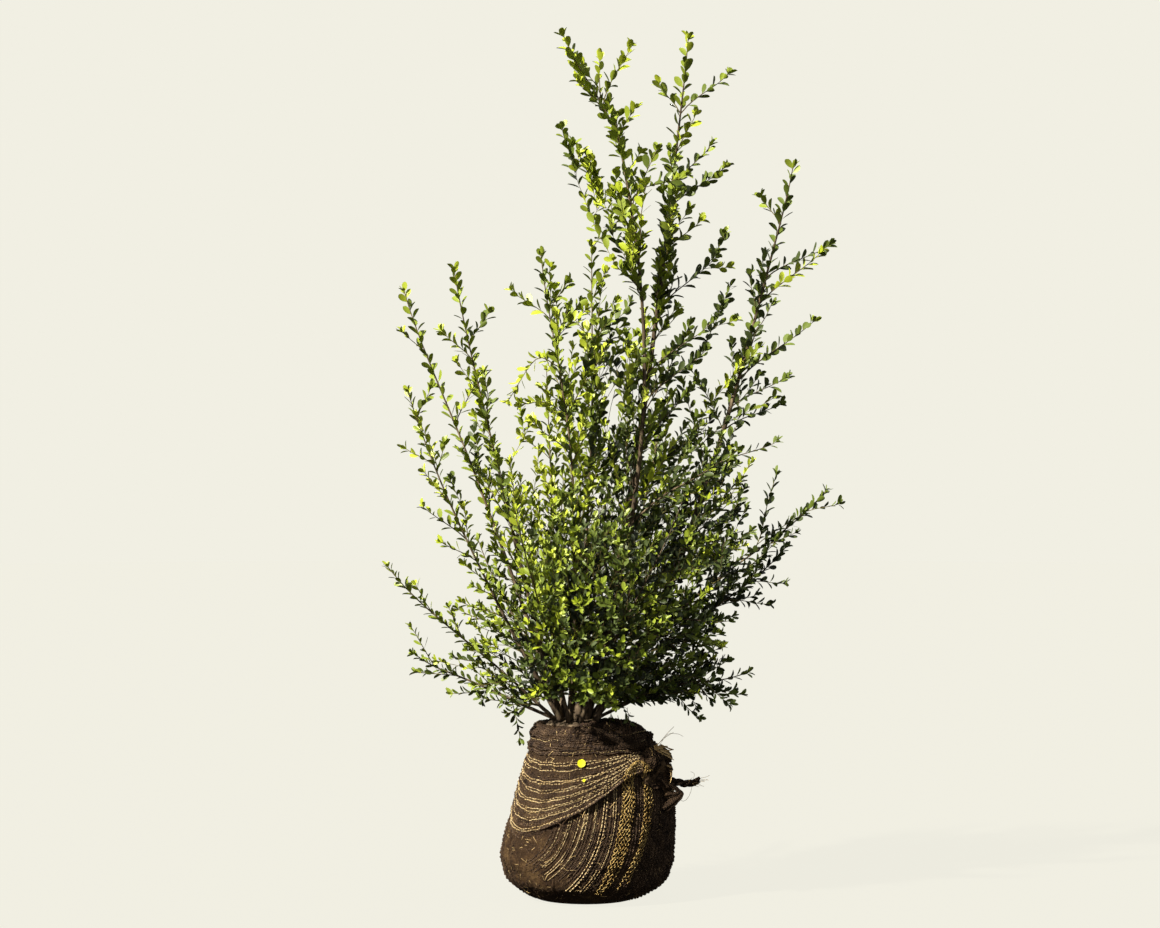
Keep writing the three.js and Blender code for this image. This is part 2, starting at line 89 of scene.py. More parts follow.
class Board:
    """A node tree of a material or of geometry, to which nodes are added by kind."""

    def __init__(self, tree):
        self.tree = tree

    def add(self, kind, settings=None, inputs=None, out=0):
        node = self.tree.nodes.new(kind)
        for key, value in (settings or {}).items():
            if key == "stops":
                stops = node.color_ramp.elements
                while len(stops) < len(value):
                    stops.new(1.0)
                for stop, (place, colour) in zip(stops, value):
                    stop.position, stop.color = place, (*colour, 1.0)
            elif key == "curve":
                points = node.mapping.curves[0].points
                while len(points) < len(value):
                    points.new(0.5, 0.5)
                for point, place in zip(points, value):
                    point.location = place
                node.mapping.update()
            else:
                setattr(node, key, value)
        for key, value in (inputs or {}).items():
            if isinstance(value, Wire):
                self.tree.links.new(value.socket, node.inputs[key])
            else:
                node.inputs[key].default_value = value
        return Wire(self, node.outputs[out])

    def mixed(self, share, first, second):
        """Two colours mixed by a share."""
        return self.add("ShaderNodeMix", {"data_type": "RGBA"}, {0: share, 6: first, 7: second}, out=2)

    def parts(self, vector):
        """The first two parts of a vector."""
        return [self.add("ShaderNodeSeparateXYZ", {}, {0: vector}, out=i) for i in (0, 1)]


def linear(red, green, blue):
    """A colour given 0 to 255, as the shader needs it."""
    return tuple(v / 3294.6 if v <= 10.31 else ((v / 255 + 0.055) / 1.055) ** 2.4 for v in (red, green, blue))


def shade(red, green, blue):
    """The same colour with full cover, for a socket."""
    return (*linear(red, green, blue), 1.0)


class Finish:
    """A material with a Principled shader, whose varying parts are wired by the functions below."""

    def __init__(self, name, colour, roughness, specular=0.5, **fixed):
        self.material = bpy.data.materials.new(name)
        self.material.use_nodes = True
        self.material.diffuse_color = colour
        self.board = Board(self.material.node_tree)
        self.shader = self.material.node_tree.nodes["Principled BSDF"]
        self.set("Base Color", colour)
        self.set("Roughness", roughness)
        self.set("Specular IOR Level", specular)
        for key, value in fixed.items():
            self.set(key.replace("_", " "), value)

    def set(self, key, value):
        if isinstance(value, Wire):
            self.board.tree.links.new(value.socket, self.shader.inputs[key])
        else:
            self.shader.inputs[key].default_value = value

    def place(self, scale=(1.0, 1.0, 1.0)):
        """The spot on the piece, in metres, stretched by a scale."""
        spot = self.board.add("ShaderNodeTexCoord", out="Object")
        return self.board.add("ShaderNodeMapping", {}, {"Vector": spot, "Scale": scale})

    def patches(self, size, detail=3.0, rough=0.55, scale=(1.0, 1.0, 1.0), warp=0.0):
        """Noise, 0 to 1, with patches of a size in metres."""
        return self.board.add("ShaderNodeTexNoise", {}, {
            "Vector": self.place(scale), "Scale": 1.0 / size, "Detail": detail,
            "Roughness": rough, "Distortion": warp})

    def thread(self):
        """The two ways of the piece's own UV map, in metres."""
        return self.board.parts(self.board.add("ShaderNodeUVMap", {"uv_map": "UVMap"}))

    def ramp(self, share, *stops):
        """Colours given 0 to 255, each at its place from 0 to 1."""
        stops = [(place, linear(*colour)) for place, colour in stops]
        return self.board.add("ShaderNodeValToRGB", {"stops": stops}, {"Fac": share})

    def bump(self, height, distance):
        """Fine relief, as high as a distance in metres."""
        self.set("Normal", self.board.add("ShaderNodeBump", {}, {
            "Height": height, "Distance": distance, "Strength": 1.0}))


def bark_finish():
    """Grey-brown bark with long fissures, paler where it is rubbed, with a little green film."""
    bark = Finish("weathered_bark", shade(96, 80, 62), 0.85, 0.25)
    grain = bark.patches(0.007, 5.0, 0.65, (1.0, 1.0, 0.16), 0.4)
    cloud = bark.patches(0.045, 3.0)
    film = bark.patches(0.02, 2.0)
    tone = bark.ramp(grain, (0.28, (36, 29, 24)), (0.5, (86, 72, 56)), (0.72, (142, 125, 100)))
    tone = bark.board.mixed((cloud * 2.0 - 0.9).clipped() * 0.55, tone, shade(70, 58, 48))
    tone = bark.board.mixed((film * 4.0 - 2.5).clipped() * 0.35, tone, shade(88, 92, 52))
    bark.set("Base Color", tone)
    bark.bump(grain + bark.patches(0.0016, 2.0) * 0.4, 0.0009)
    return bark.material


def twig_finish():
    """Green-brown bark of this year's twigs."""
    twig = Finish("young_twig", shade(104, 92, 52), 0.7, 0.3)
    streak = twig.patches(0.012, 3.0)
    tone = twig.ramp(streak, (0.3, (66, 54, 34)), (0.52, (98, 88, 46)), (0.72, (122, 116, 56)))
    twig.set("Base Color", tone)
    twig.bump(twig.patches(0.0012, 2.0), 0.0002)
    return twig.material


# Leaf tints, from light to dark. They are named by age but dealt out by age and by painted light alike: the lighter
# tints also stand for painted sunlight on the top and left of the crown, the darker ones for painted shade deep inside
# it and right of its foot.
LEAF_TINTS = {
    "new": shade(182, 193, 64),
    "fresh": shade(164, 177, 46),
    "bright": shade(131, 146, 42),
    "green": shade(94, 109, 38),
    "deep": shade(64, 76, 34),
    "old": shade(40, 48, 28),
}


def leaf_finish(tint):
    """A glossy small leaf, one plain tint."""
    return Finish(tint + "_leaf", LEAF_TINTS[tint], 0.46, 0.45, Coat_Weight=0.08, Coat_Roughness=0.35).material


def cloth_finish():
    """Loose brown jute, woven dark, caked with dry earth where it has soaked through."""
    cloth = Finish("jute_cloth", shade(74, 56, 44), 0.95, 0.12)
    round_, upright = cloth.thread()
    sway = cloth.patches(0.03, 2.0) * 5.0
    weft = (round_ * (math.tau / 0.0032) + sway).sine()
    warp = (upright * (math.tau / 0.0026) + sway).sine()
    weave = weft * warp * 0.5 + 0.5
    fuzz = cloth.patches(0.0022, 4.0, 0.7)
    dust = cloth.patches(0.028, 4.0, 0.6, warp=0.5)
    earthy = cloth.board.add("ShaderNodeAttribute", {"attribute_name": "earthy"}, out="Fac")
    tone = cloth.ramp(weave * 0.45 + fuzz * 0.55, (0.28, (12, 8, 6)), (0.5, (36, 26, 20)), (0.76, (96, 77, 56)))
    soil = cloth.ramp(fuzz * 0.5 + dust * 0.5, (0.3, (21, 14, 9)), (0.5, (52, 37, 23)), (0.72, (108, 86, 57)))
    share = (earthy + (dust - 0.5) * 1.6).clipped()
    cloth.set("Base Color", cloth.board.mixed(share, tone, soil))
    cloth.bump(weave * (1.0 - share * 0.7) + fuzz * 0.9, 0.0009)
    return cloth.material


def yarn_finish(name, dark, mid, pale):
    """Twisted jute yarn. Its UV runs along the yarn in metres and round it."""
    yarn = Finish(name, shade(*mid), 0.85, 0.2)
    along, round_ = yarn.thread()
    twist = (along * (math.tau / 0.0032) + round_ * math.tau).sine() * 0.5 + 0.5
    stain = yarn.patches(0.014, 4.0, 0.6)
    yarn.set("Base Color", yarn.ramp(twist * 0.25 + stain * 0.75, (0.3, dark), (0.48, mid), (0.68, pale)))
    yarn.bump(twist + yarn.patches(0.0009, 2.0) * 0.5, 0.0004)
    return yarn.material


def soil_finish():
    """Dark moist soil, drier and paler on its crumbs."""
    soil = Finish("root_soil", shade(54, 42, 34), 0.97, 0.15)
    lumps = soil.patches(0.006, 6.0, 0.7)
    dry = soil.patches(0.03, 3.0)
    tone = soil.ramp(lumps, (0.32, (20, 15, 13)), (0.52, (52, 39, 31)), (0.7, (98, 78, 58)))
    soil.set("Base Color", soil.board.mixed((dry * 3.0 - 1.4).clipped() * 0.5, tone, shade(104, 84, 62)))
    soil.bump(lumps, 0.0015)
    return soil.material


def plain_finish(name, colour, roughness):
    """A nearly even colour with faint patches, for straw, fibres and the fallen leaves."""
    even = linear(*colour)
    plain = Finish(name, (*even, 1.0), roughness, 0.3)
    stops = ((0.35, [part * 0.72 for part in even]), (0.65, [min(1.0, part * 1.2) for part in even]))
    plain.set("Base Color", plain.board.add("ShaderNodeValToRGB", {"stops": stops}, {"Fac": plain.patches(0.004)}))
    return plain.material


# ---------------------------------------------------------------- small helpers

def unit(v):
    """Vectors brought to length 1."""
    return v / np.maximum(np.linalg.norm(v, axis=-1, keepdims=True), 1e-12)


def smooth(low, high, value):
    """From 0 at low to 1 at high, with soft ends."""
    share = np.clip((value - low) / (high - low), 0.0, 1.0)
    return share * share * (3 - 2 * share)


def ripple(spots, size, seed=0.0):
    """Smooth noise of about -1 to 1 at many spots, as a sum of tilted waves."""
    total = np.zeros(len(spots))
    for i in range(7):
        way = np.array([math.sin(3.1 * i + seed), math.cos(5.3 * i + 2 * seed), math.sin(7.7 * i + 3 * seed + 1)])
        total += np.sin(spots @ way * (math.tau / size) * (1 + 0.37 * i) + 9.1 * i + seed) / (1 + 0.5 * i)
    return total / 2.2


def steps_of(line):
    """The length of each step of a line."""
    return np.linalg.norm(np.diff(line, axis=0), axis=1)


def run_of(line):
    """How far along a line each of its spots is."""
    return np.concatenate([[0], np.cumsum(steps_of(line))])


def read_off(stops, run, spots):
    """Spots or ways of a line at stops along its run."""
    return np.stack([np.interp(stops, run, spots[:, k]) for k in range(3)], axis=1)


def bow(t, start, near, far, end):
    """A curve from start to end that two spots between them pull towards themselves."""
    return (1 - t)**3 * start + 3 * (1 - t)**2 * t * near + 3 * (1 - t) * t**2 * far + t**3 * end


def box_of(name):
    """The lowest and highest corner of a CAD node's box."""
    return (np.array(corner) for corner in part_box(name))


MERGE_CELLS = 2e4


def cad_shape(name):
    """Corners, triangles and neighbour sets of a CAD node, with corners in one 0.05 mm cell merged."""
    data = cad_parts[name].data
    data.calc_loop_triangles()
    corners = np.empty(len(data.vertices) * 3, np.float32)
    data.vertices.foreach_get("co", corners)
    faces = np.empty(len(data.loop_triangles) * 3, np.int32)
    data.loop_triangles.foreach_get("vertices", faces)
    keys = np.round(corners.reshape(-1, 3).astype(float) * MERGE_CELLS).astype(np.int64)
    _, first, which = np.unique(keys, axis=0, return_index=True, return_inverse=True)
    corners = corners.reshape(-1, 3)[first].astype(float)
    faces = which.reshape(-1)[faces].reshape(-1, 3)
    faces = faces[(faces[:, 0] != faces[:, 1]) & (faces[:, 1] != faces[:, 2]) & (faces[:, 0] != faces[:, 2])]
    links = [set() for _ in corners]
    for a, b, c in faces.tolist():
        links[a] |= {b, c}
        links[b] |= {a, c}
        links[c] |= {a, b}
    return corners, faces, links


def evened(points, step, *others):
    """A smooth curve through points, cut at an even step, with other values carried along it."""
    points, cuts = np.asarray(points, float), 13
    before = np.vstack([2 * points[0] - points[1], points[:-1]])
    after = np.vstack([points[1:], 2 * points[-1] - points[-2]])
    slopes = (after - before) / 2
    fine, carried = [], [[] for _ in others]
    for i in range(len(points) - 1):
        t = np.linspace(0, 1, cuts)[:, None][: cuts if i == len(points) - 2 else cuts - 1]
        fine.append((2 * t**3 - 3 * t**2 + 1) * points[i] + (t**3 - 2 * t**2 + t) * slopes[i]
                    + (3 * t**2 - 2 * t**3) * points[i + 1] + (t**3 - t**2) * slopes[i + 1])
        for store, values in zip(carried, others):
            store.append(values[i] + (values[i + 1] - values[i]) * t[:, 0])
    fine = np.vstack(fine)
    run = run_of(fine)
    stops = np.linspace(0, run[-1], max(2, int(round(run[-1] / step)) + 1))
    line = read_off(stops, run, fine)
    if not others:
        return line
    return (line, *[np.interp(stops, run, np.concatenate(store)) for store in carried])


def headings(line):
    """Unit directions along a line."""
    return unit(np.gradient(line, axis=0))


class Skin:
    """Corners, faces and UV gathered from many parts, to become one piece."""

    def __init__(self):
        self.corners, self.faces, self.spots, self.count = [], [], [], 0

    def add(self, corners, faces, spots):
        self.corners.append(corners)
        self.faces += [tuple(i + self.count for i in face) for face in faces]
        self.spots.append(spots)
        self.count += len(corners)

    def tube(self, line, fat, sides, outward=None, relief=None, girth=1.0, squash=1.0):
        """A closed tube along a line. Outward says which way its seam faces, and relief reshapes its skin."""
        line = np.asarray(line, float)
        rows = len(line)
        fat = np.broadcast_to(fat, (rows,)).astype(float)
        along = headings(line)
        if outward is None:
            mean = unit(line[-1] - line[0] + 1e-9)
            level = abs(mean[0]) >= 0.7
            outward = np.broadcast_to(np.array([0, 1.0, 0] if level else [1.0, 0, 0]), (rows, 3))
        side = unit(outward - (outward * along).sum(1)[:, None] * along)
        over = np.cross(along, side)
        run = run_of(line)
        angles = np.linspace(0, math.tau, sides, endpoint=False)
        ring = (side[:, None, :] * np.cos(angles)[None, :, None] * squash
                + over[:, None, :] * np.sin(angles)[None, :, None])
        reach = np.repeat(fat[:, None], sides, axis=1)
        if relief is not None:
            reach = reach + relief(line, ring, run, angles, fat)
        skin = (line[:, None, :] + ring * reach[:, :, None]).reshape(-1, 3)
        corners = np.vstack([skin, line[0] - along[0] * fat[0] * 0.4, line[-1] + along[-1] * fat[-1] * 0.6])
        faces = []
        for i in range(rows - 1):
            a, b = i * sides, (i + 1) * sides
            faces += [(a + j, a + (j + 1) % sides, b + (j + 1) % sides, b + j) for j in range(sides)]
        foot, tip, last = rows * sides, rows * sides + 1, (rows - 1) * sides
        faces += [(foot, (j + 1) % sides, j) for j in range(sides)]
        faces += [(tip, last + j, last + (j + 1) % sides) for j in range(sides)]
        spots = np.stack([np.repeat(run, sides), np.tile(np.abs(angles / math.pi - 1) * girth, rows)], axis=1)
        self.add(corners, faces, np.vstack([spots, [0, 0], [run[-1], 0]]))

    def piece(self, name, material, slot, stands_for=(), values=None):
        """The gathered parts as one piece on the plant, with other values that its corners carry."""
        data = mesh_of(name, np.vstack(self.corners), self.faces)
        spots = np.vstack(self.spots)
        loops = np.empty(len(data.loops), np.int32)
        data.loops.foreach_get("vertex_index", loops)
        data.uv_layers.new(name="UVMap").data.foreach_set("uv", spots[loops].astype(np.float32).ravel())
        for key, value in (values or {}).items():
            data.attributes.new(key, "FLOAT", "POINT").data.foreach_set("value", value.astype(np.float32))
        data.polygons.foreach_set("use_smooth", [True] * len(data.polygons))
        data.update()
        return settle(data, name, material, stands_for)


def mesh_of(name, corners, faces=()):
    """A mesh made of corners, and of faces if it has any."""
    data = bpy.data.meshes.new(name)
    data.from_pydata(corners.tolist(), [], faces)
    return data


def placed(name, data):
    """A new object in the scene."""
    thing = bpy.data.objects.new(name, data)
    bpy.context.scene.collection.objects.link(thing)
    return thing


def made_plain(carrier):
    """The plain mesh that an object's modifiers make. The object is taken away."""
    graph = bpy.context.evaluated_depsgraph_get()
    result = bpy.data.meshes.new_from_object(
        carrier.evaluated_get(graph), preserve_all_data_layers=True, depsgraph=graph)
    carrier.modifiers.clear()
    bpy.data.objects.remove(carrier)
    return result


def settle(data, name, material, stands_for=()):
    """A mesh as a piece of the plant that moves with its root ball."""
    data.materials.clear()
    data.materials.append(material)
    data.name = name
    piece = placed(name, data)
    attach(piece, "root")
    if stands_for:
        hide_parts(*stands_for)
    return piece


def grown(name, points, tree, finish, values):
    """The mesh that a geometry tree makes of a cloud of points with named values."""
    data = mesh_of(name, points)
    for key, (kind, field, value) in values.items():
        data.attributes.new(key, kind, "POINT").data.foreach_set(field, np.asarray(value, np.float32).ravel())
    carrier = placed(name, data)
    modifier = carrier.modifiers.new(name, "NODES")
    modifier.node_group = tree
    sockets = {item.name: item.identifier for item in tree.interface.items_tree if item.item_type == "SOCKET"}
    modifier[sockets["Material"]] = finish
    carrier.update_tag()
    return made_plain(carrier)


def geometry_tree(name, sizes):
    """An empty geometry tree with named sizes and a material as its inputs."""
    tree = bpy.data.node_groups.new(name, "GeometryNodeTree")
    tree.interface.new_socket("Geometry", in_out="OUTPUT", socket_type="NodeSocketGeometry")
    tree.interface.new_socket("Geometry", in_out="INPUT", socket_type="NodeSocketGeometry")
    for key, value in sizes.items():
        tree.interface.new_socket(key, in_out="INPUT", socket_type="NodeSocketFloat").default_value = value
    tree.interface.new_socket("Material", in_out="INPUT", socket_type="NodeSocketMaterial")
    board = Board(tree)
    entry = tree.nodes.new("NodeGroupInput")
    inputs = {socket.name: Wire(board, socket) for socket in entry.outputs if socket.name}
    return board, inputs


def ended(board, inputs, geometry):
    """Realizes a tree's instances, gives them its material and sends them out."""
    real = board.add("GeometryNodeRealizeInstances", {}, {0: geometry})
    even = board.add("GeometryNodeSetShadeSmooth", {}, {0: real})
    done = board.add("GeometryNodeSetMaterial", {}, {0: even, "Material": inputs["Material"]})
    exit_ = board.tree.nodes.new("NodeGroupOutput")
    board.tree.links.new(done.socket, exit_.inputs[0])
    return board.tree


# ---------------------------------------------------------------- reading the limbs and the masses

def read_limb(name):
    """The middle line and the radii of a limb's tube, walked ring by ring from its foot."""
    corners, _, links = cad_shape(name)
    low = np.flatnonzero(corners[:, 2] < corners[:, 2].min() + 2e-5)
    middle = corners[low].mean(axis=0)
    ring = {int(low[np.argmin(np.linalg.norm(corners[low] - middle, axis=1))])}
    seen, middles, fats = set(ring), [], []
    while True:
        ring = {j for i in ring for j in links[i]} - seen
        if not ring:
            break
        seen |= ring
        if len(ring) < 3:
            continue
        spots = corners[sorted(ring)]
        middles.append(spots.mean(axis=0))
        fats.append(np.linalg.norm(spots - middles[-1], axis=1).mean())
    return np.array(middles), np.array(fats)


def sharp_tips(name):
    """The pointed ends of a mass, where its faces close in from one side only."""
    corners, _, links = cad_shape(name)
    tips = []
    for i, near in enumerate(links):
        pull = unit(corners[sorted(near)] - corners[i]).mean(axis=0)
        sharp = np.linalg.norm(pull)
        away = unit(corners[i] - CROWN_ROOT)
        if sharp > 0.78 and -pull @ away > -0.2 * sharp:
            tips.append(corners[i])
    return tips


class Crown:
    """Where the crown has foliage: a grid of cells, each with its depth under the crown's surface, in layers of one
    cell. The skirt, low in the crown, hangs down a little further than its masses, and the foot below it is bare."""

    CELL = 6 * MM
    LAYERS = 12
    BARE, SKIRT = 0.024, 0.12

    def __init__(self, masses):
        corners, faces, count = [], [], 0
        for name in masses:
            spots, triangles, _ = cad_shape(name)
            corners.append(spots)
            faces.append(triangles + count)
            count += len(spots)
        corners, faces = np.vstack(corners), np.vstack(faces)
        self.tree = BVHTree.FromPolygons(corners.tolist(), faces.tolist())
        self.low = corners.min(axis=0) - 2 * self.CELL
        self.shape = tuple(np.ceil((corners.max(axis=0) + 2 * self.CELL - self.low) / self.CELL).astype(int))
        full = np.zeros(self.shape, bool)
        heights = self.low[2] + (np.arange(self.shape[2]) + 0.5) * self.CELL
        for i in range(self.shape[0]):
            for j in range(self.shape[1]):
                x, y = self.low[0] + (i + 0.5) * self.CELL + 1e-5, self.low[1] + (j + 0.5) * self.CELL + 1e-5
                for bottom, top in self._spans(x, y):
                    full[i, j, (heights > bottom) & (heights < top)] = True
        full = self._swollen(full)
        skirt = heights < CROWN_ROOT[2] + self.SKIRT
        for drop in range(1, 4):
            full[:, :, :-drop] |= full[:, :, drop:] & skirt[None, None, :-drop]
        full &= heights[None, None, :] > CROWN_ROOT[2] + self.BARE
        self.depth = full.astype(np.int8)
        inner = full
        for layer in range(2, self.LAYERS + 1):
            inner = ~self._swollen(~inner)
            self.depth[inner] = layer
        self.near = self._swollen(full)

    def _spans(self, x, y):
        """Heights between which an upright line is inside some mass."""
        z, level, start, spans = self.low[2] - 0.01, 0, 0.0, []
        while True:
            hit, normal, _, _ = self.tree.ray_cast(Vector((x, y, z)), Vector((0, 0, 1)))
            if hit is None:
                return spans
            if normal.z < 0:
                if level == 0:
                    start = hit.z
                level += 1
            else:
                level -= 1
                if level == 0:
                    spans.append((start, hit.z))
            z = hit.z + 2e-6

    @staticmethod
    def _swollen(cells):
        """The cells and those that touch their sides."""
        big = cells.copy()
        for axis in range(3):
            for shift in (-1, 1):
                moved = np.roll(cells, shift, axis)
                edge = [slice(None)] * 3
                edge[axis] = 0 if shift == 1 else -1
                moved[tuple(edge)] = False
                big |= moved
        return big

    def cell(self, spots):
        at = np.floor((np.atleast_2d(spots) - self.low) / self.CELL).astype(int)
        return tuple(np.clip(at[:, k], 0, self.shape[k] - 1) for k in range(3))

    def depth_at(self, spots):
        """Depth under the crown's surface in metres, 0 outside."""
        return self.depth[self.cell(spots)] * self.CELL

    def outside(self, spots):
        return ~self.near[self.cell(spots)]


# ---------------------------------------------------------------- growing the shrub

rng = np.random.default_rng(41)
CROWN_ROOT = np.mean([read_limb(name)[0][0] for name in LIMBS], axis=0)
crown = Crown(MASSES)


def crown_share(height):
    """How far up the crown a height is, 0 at its foot and 1 at its top."""
    return (height - CROWN_ROOT[2]) / (CAD_BOX[1][2] - CROWN_ROOT[2])


def outgrowth(spot):
    """The way in which the shrub grows at a spot: up and outwards from its foot."""
    gap = (spot - CROWN_ROOT) * [1.5, 1.5, 1.0]
    return unit(np.array([gap[0], gap[1], max(gap[2], 0.02)]))


class Shoot:
    """A limb or a twig: its middle line, its radii, the share of it below its leaves, and its order of growth."""

    def __init__(self, line, fat, leafy_from, limb=None, order=0):
        self.line, self.fat, self.leafy_from, self.limb, self.order = line, fat, leafy_from, limb, order


class Skeleton:
    """All the wood so far, as spots from which more can grow."""

    CANDIDATES, TRIES, APART = 400, 7, 0.018

    def __init__(self, room=40000):
        self.spots, self.ways, self.fats = np.zeros((room, 3)), np.zeros((room, 3)), np.zeros(room)
        self.count, self.shoots = 0, []

    def add(self, shoot, skip=0.0):
        """Keeps a shoot. The first part of it, a share given by skip, can't branch."""
        start = int(len(shoot.line) * skip)
        line = shoot.line[start:-1]
        end = self.count + len(line)
        self.spots[self.count:end] = line
        self.ways[self.count:end] = headings(shoot.line)[start:-1]
        self.fats[self.count:end] = shoot.fat[start:-1]
        self.count = end
        self.shoots.append(shoot)

    def distance(self, spot):
        return np.linalg.norm(self.spots[:self.count] - spot, axis=1).min()

    def reach(self, target, least):
        """A curved twig from the wood to a target, from the spot that suits it best and through foliage only."""
        gap = target - self.spots[:self.count]
        far = np.linalg.norm(gap, axis=1)
        way = gap / np.maximum(far, 1e-6)[:, None]
        lean = (way * self.ways[:self.count]).sum(axis=1)
        cost = far * (1 + 1.7 * np.maximum(0, 0.5 - lean) + 5 * np.maximum(0, lean - 0.95)
                      + 2.4 * (1 - way @ outgrowth(target))) + 1.6 * np.maximum(0, least - far)
        best, best_cost = None, math.inf
        tried = []
        for i in np.argsort(cost)[:self.CANDIDATES]:
            if any(np.linalg.norm(self.spots[i] - self.spots[j]) < self.APART for j in tried):
                continue
            tried.append(i)
            line = self.arc(self.spots[i], self.ways[i], target)
            middle = line[2:-1] if len(line) > 4 else line
            total = cost[i] + 1.6 * far[i] * crown.outside(middle).mean()
            if total < best_cost:
                best, best_cost = (i, line), total
            if len(tried) >= self.TRIES:
                break
        i, line = best
        return line, self.fats[i]

    @staticmethod
    def arc(root, way, target):
        """A twig's course: off its parent at a slant, straightening, with a slight lift and wobble."""
        gap = target - root
        length = np.linalg.norm(gap)
        course = gap / length
        start = unit(course + 0.5 * way)
        end = unit(course + 0.35 * outgrowth(target) + 0.12 * UP)
        t = np.linspace(0, 1, max(4, int(length / 0.007) + 1))[:, None]
        near, far = root + start * length * 0.34, target - end * length * 0.3
        side = unit(np.cross(course, UP) + 1e-6)
        wave = np.sin(math.pi * t) * np.sin(t * length / 0.05 * math.pi + 40 * root[0])
        return bow(t, root, near, far, target) + side * (wave * min(0.0022, 0.02 * length))


# Orders of growth after the limbs, which are 0: twigs to the crown's spare tips, twigs that fill the crown, and this
# year's long shoots. A twig thickens with its length from TIP_FAT, and stops a little short of the crown's surface.
SPARE, FILL, YOUNG = 1, 2, 3
TIP_FAT, THICKENING = 0.45 * MM, 0.0045
LIMB_STEP = 0.006
SHORT_OF_TIP = 0.008
wood = Skeleton()


def grow_limbs():
    """Each limb carries on as a thinning leader to the far tip of its own mass."""
    spare = []
    for name in LIMBS:
        middles, fats = read_limb(name)
        end, way = middles[-1], unit(middles[-1] - middles[-2])
        tips = sharp_tips(name + "_foliage")
        scores = []
        for tip in tips:
            gap = tip - end
            aside = np.linalg.norm(gap - (gap @ way) * way)
            scores.append(gap @ way - 0.7 * aside + 0.3 * np.linalg.norm(tip - CROWN_ROOT))
        far = tips.pop(int(np.argmax(scores)))
        spare += tips
        gap = far - end
        length = np.linalg.norm(gap)
        target = far - unit(gap) * SHORT_OF_TIP
        t = np.linspace(0, 1, max(3, int(length / 0.03)))[1:, None]
        aim = unit(unit(gap) + 0.3 * UP)
        near, late = end + way * length * 0.36, target - aim * length * 0.3
        carry = bow(t, end, near, late, target)
        thin = TIP_FAT * 1.3 + (fats[-1] - TIP_FAT * 1.3) * (1 - t[:, 0])**0.8
        line, fat = evened(np.vstack([middles, carry]), LIMB_STEP, np.concatenate([fats, thin]))
        solid, total = steps_of(middles).sum(), steps_of(line).sum()
        inside = np.flatnonzero(crown.depth_at(line) > 0)
        leafy_from = max(inside[0] / len(line), min(0.6, 0.75 * solid / total))
        wood.add(Shoot(line, fat, leafy_from, limb=name), skip=0.1)
    for name in MASSES:
        if name[: -len("_foliage")] not in LIMBS:
            spare += sharp_tips(name)
    return spare


def grow_twigs(targets, order, least):
    """A twig to each target in turn, each able to carry later ones. Least is how long a twig had better be."""
    for target in targets:
        line, parent_fat = wood.reach(target, least)
        length = steps_of(line).sum()
        foot = min(parent_fat * 0.75, TIP_FAT + THICKENING * length + 0.0002)
        share = np.linspace(0, 1, len(line))
        fat = TIP_FAT + (foot - TIP_FAT) * (1 - share)**1.1
        leafy = min(0.3, 0.012 / max(length, 0.02)) if order > SPARE else min(0.18, 0.02 / length)
        wood.add(Shoot(line, fat, leafy, order=order), skip=0.12)


def grow_extra(limb, axis, at, reach, lift, order):
    """A twig from where a limb is at a place along an axis, by a given reach and with a lift in its middle."""
    parent = next(shoot for shoot in wood.shoots if shoot.limb == limb)
    foot = parent.line[int(np.argmin(np.abs(parent.line[:, axis] - at)))]
    line = evened([foot, foot + 0.45 * np.array(reach) + UP * lift, foot + reach], 0.005)
    foot_fat = min(0.0016, TIP_FAT + THICKENING * np.linalg.norm(reach))
    wood.add(Shoot(line, np.linspace(foot_fat, TIP_FAT, len(line)), 0.16, order=order), skip=0.3)


# Twigs that arch or hang outside the masses: over the gap on the left, right of the trunk, and under the low boughs.
# Each has its limb, an axis and the place along it where the twig starts, its reach, its lift and its order.
EXTRA_TWIGS = (
    ("mid_left_stem", 2, 0.79, (-0.074, -0.03, -0.05), 0.034, YOUNG),
    ("mid_left_stem", 2, 0.72, (-0.068, -0.025, 0.015), 0.012, YOUNG),
    ("trunk", 2, 0.66, (0.088, 0.012, 0.115), 0.0, FILL),
    ("trunk", 2, 0.72, (0.07, -0.02, 0.135), -0.006, FILL),
    ("right_stem", 2, 0.63, (-0.04, 0.006, 0.14), 0.0, FILL),
    ("right_stem", 2, 0.70, (-0.048, -0.015, 0.09), 0.006, FILL),
    ("leader", 2, 0.68, (0.075, 0.02, 0.08), 0.0, FILL),
    ("trunk", 2, 0.78, (0.058, 0.015, 0.06), 0.0, FILL),
    ("left_ground_bough", 0, -0.112, (0.014, -0.022, -0.058), 0.004, FILL),
    ("left_ground_bough", 0, -0.150, (-0.006, 0.01, -0.022), 0.0, FILL),
    ("right_ground_bough", 0, 0.036, (-0.004, -0.012, -0.022), 0.002, FILL),
    ("right_ground_bough", 0, 0.056, (0.012, -0.012, -0.026), 0.002, FILL),
    ("right_ground_bough", 0, 0.140, (0.022, -0.01, -0.034), 0.003, FILL),
    ("right_ground_bough", 0, 0.160, (0.026, 0.006, -0.028), 0.003, FILL),
)


def young_targets(count, spacing):
    """Seeded spots just under the crown's surface, for this year's long shoots."""
    cells = np.argwhere((crown.depth == 2) | (crown.depth == 3))
    rng.shuffle(cells)
    spots = crown.low + (cells + 0.5) * crown.CELL
    height = crown_share(spots[:, 2])
    picked = []
    for spot in spots[(height > 0.16) & (height < 0.8)]:
        if all(np.linalg.norm(other - spot) > spacing for other in picked):
            picked.append(spot)
        if len(picked) == count:
            break
    return picked


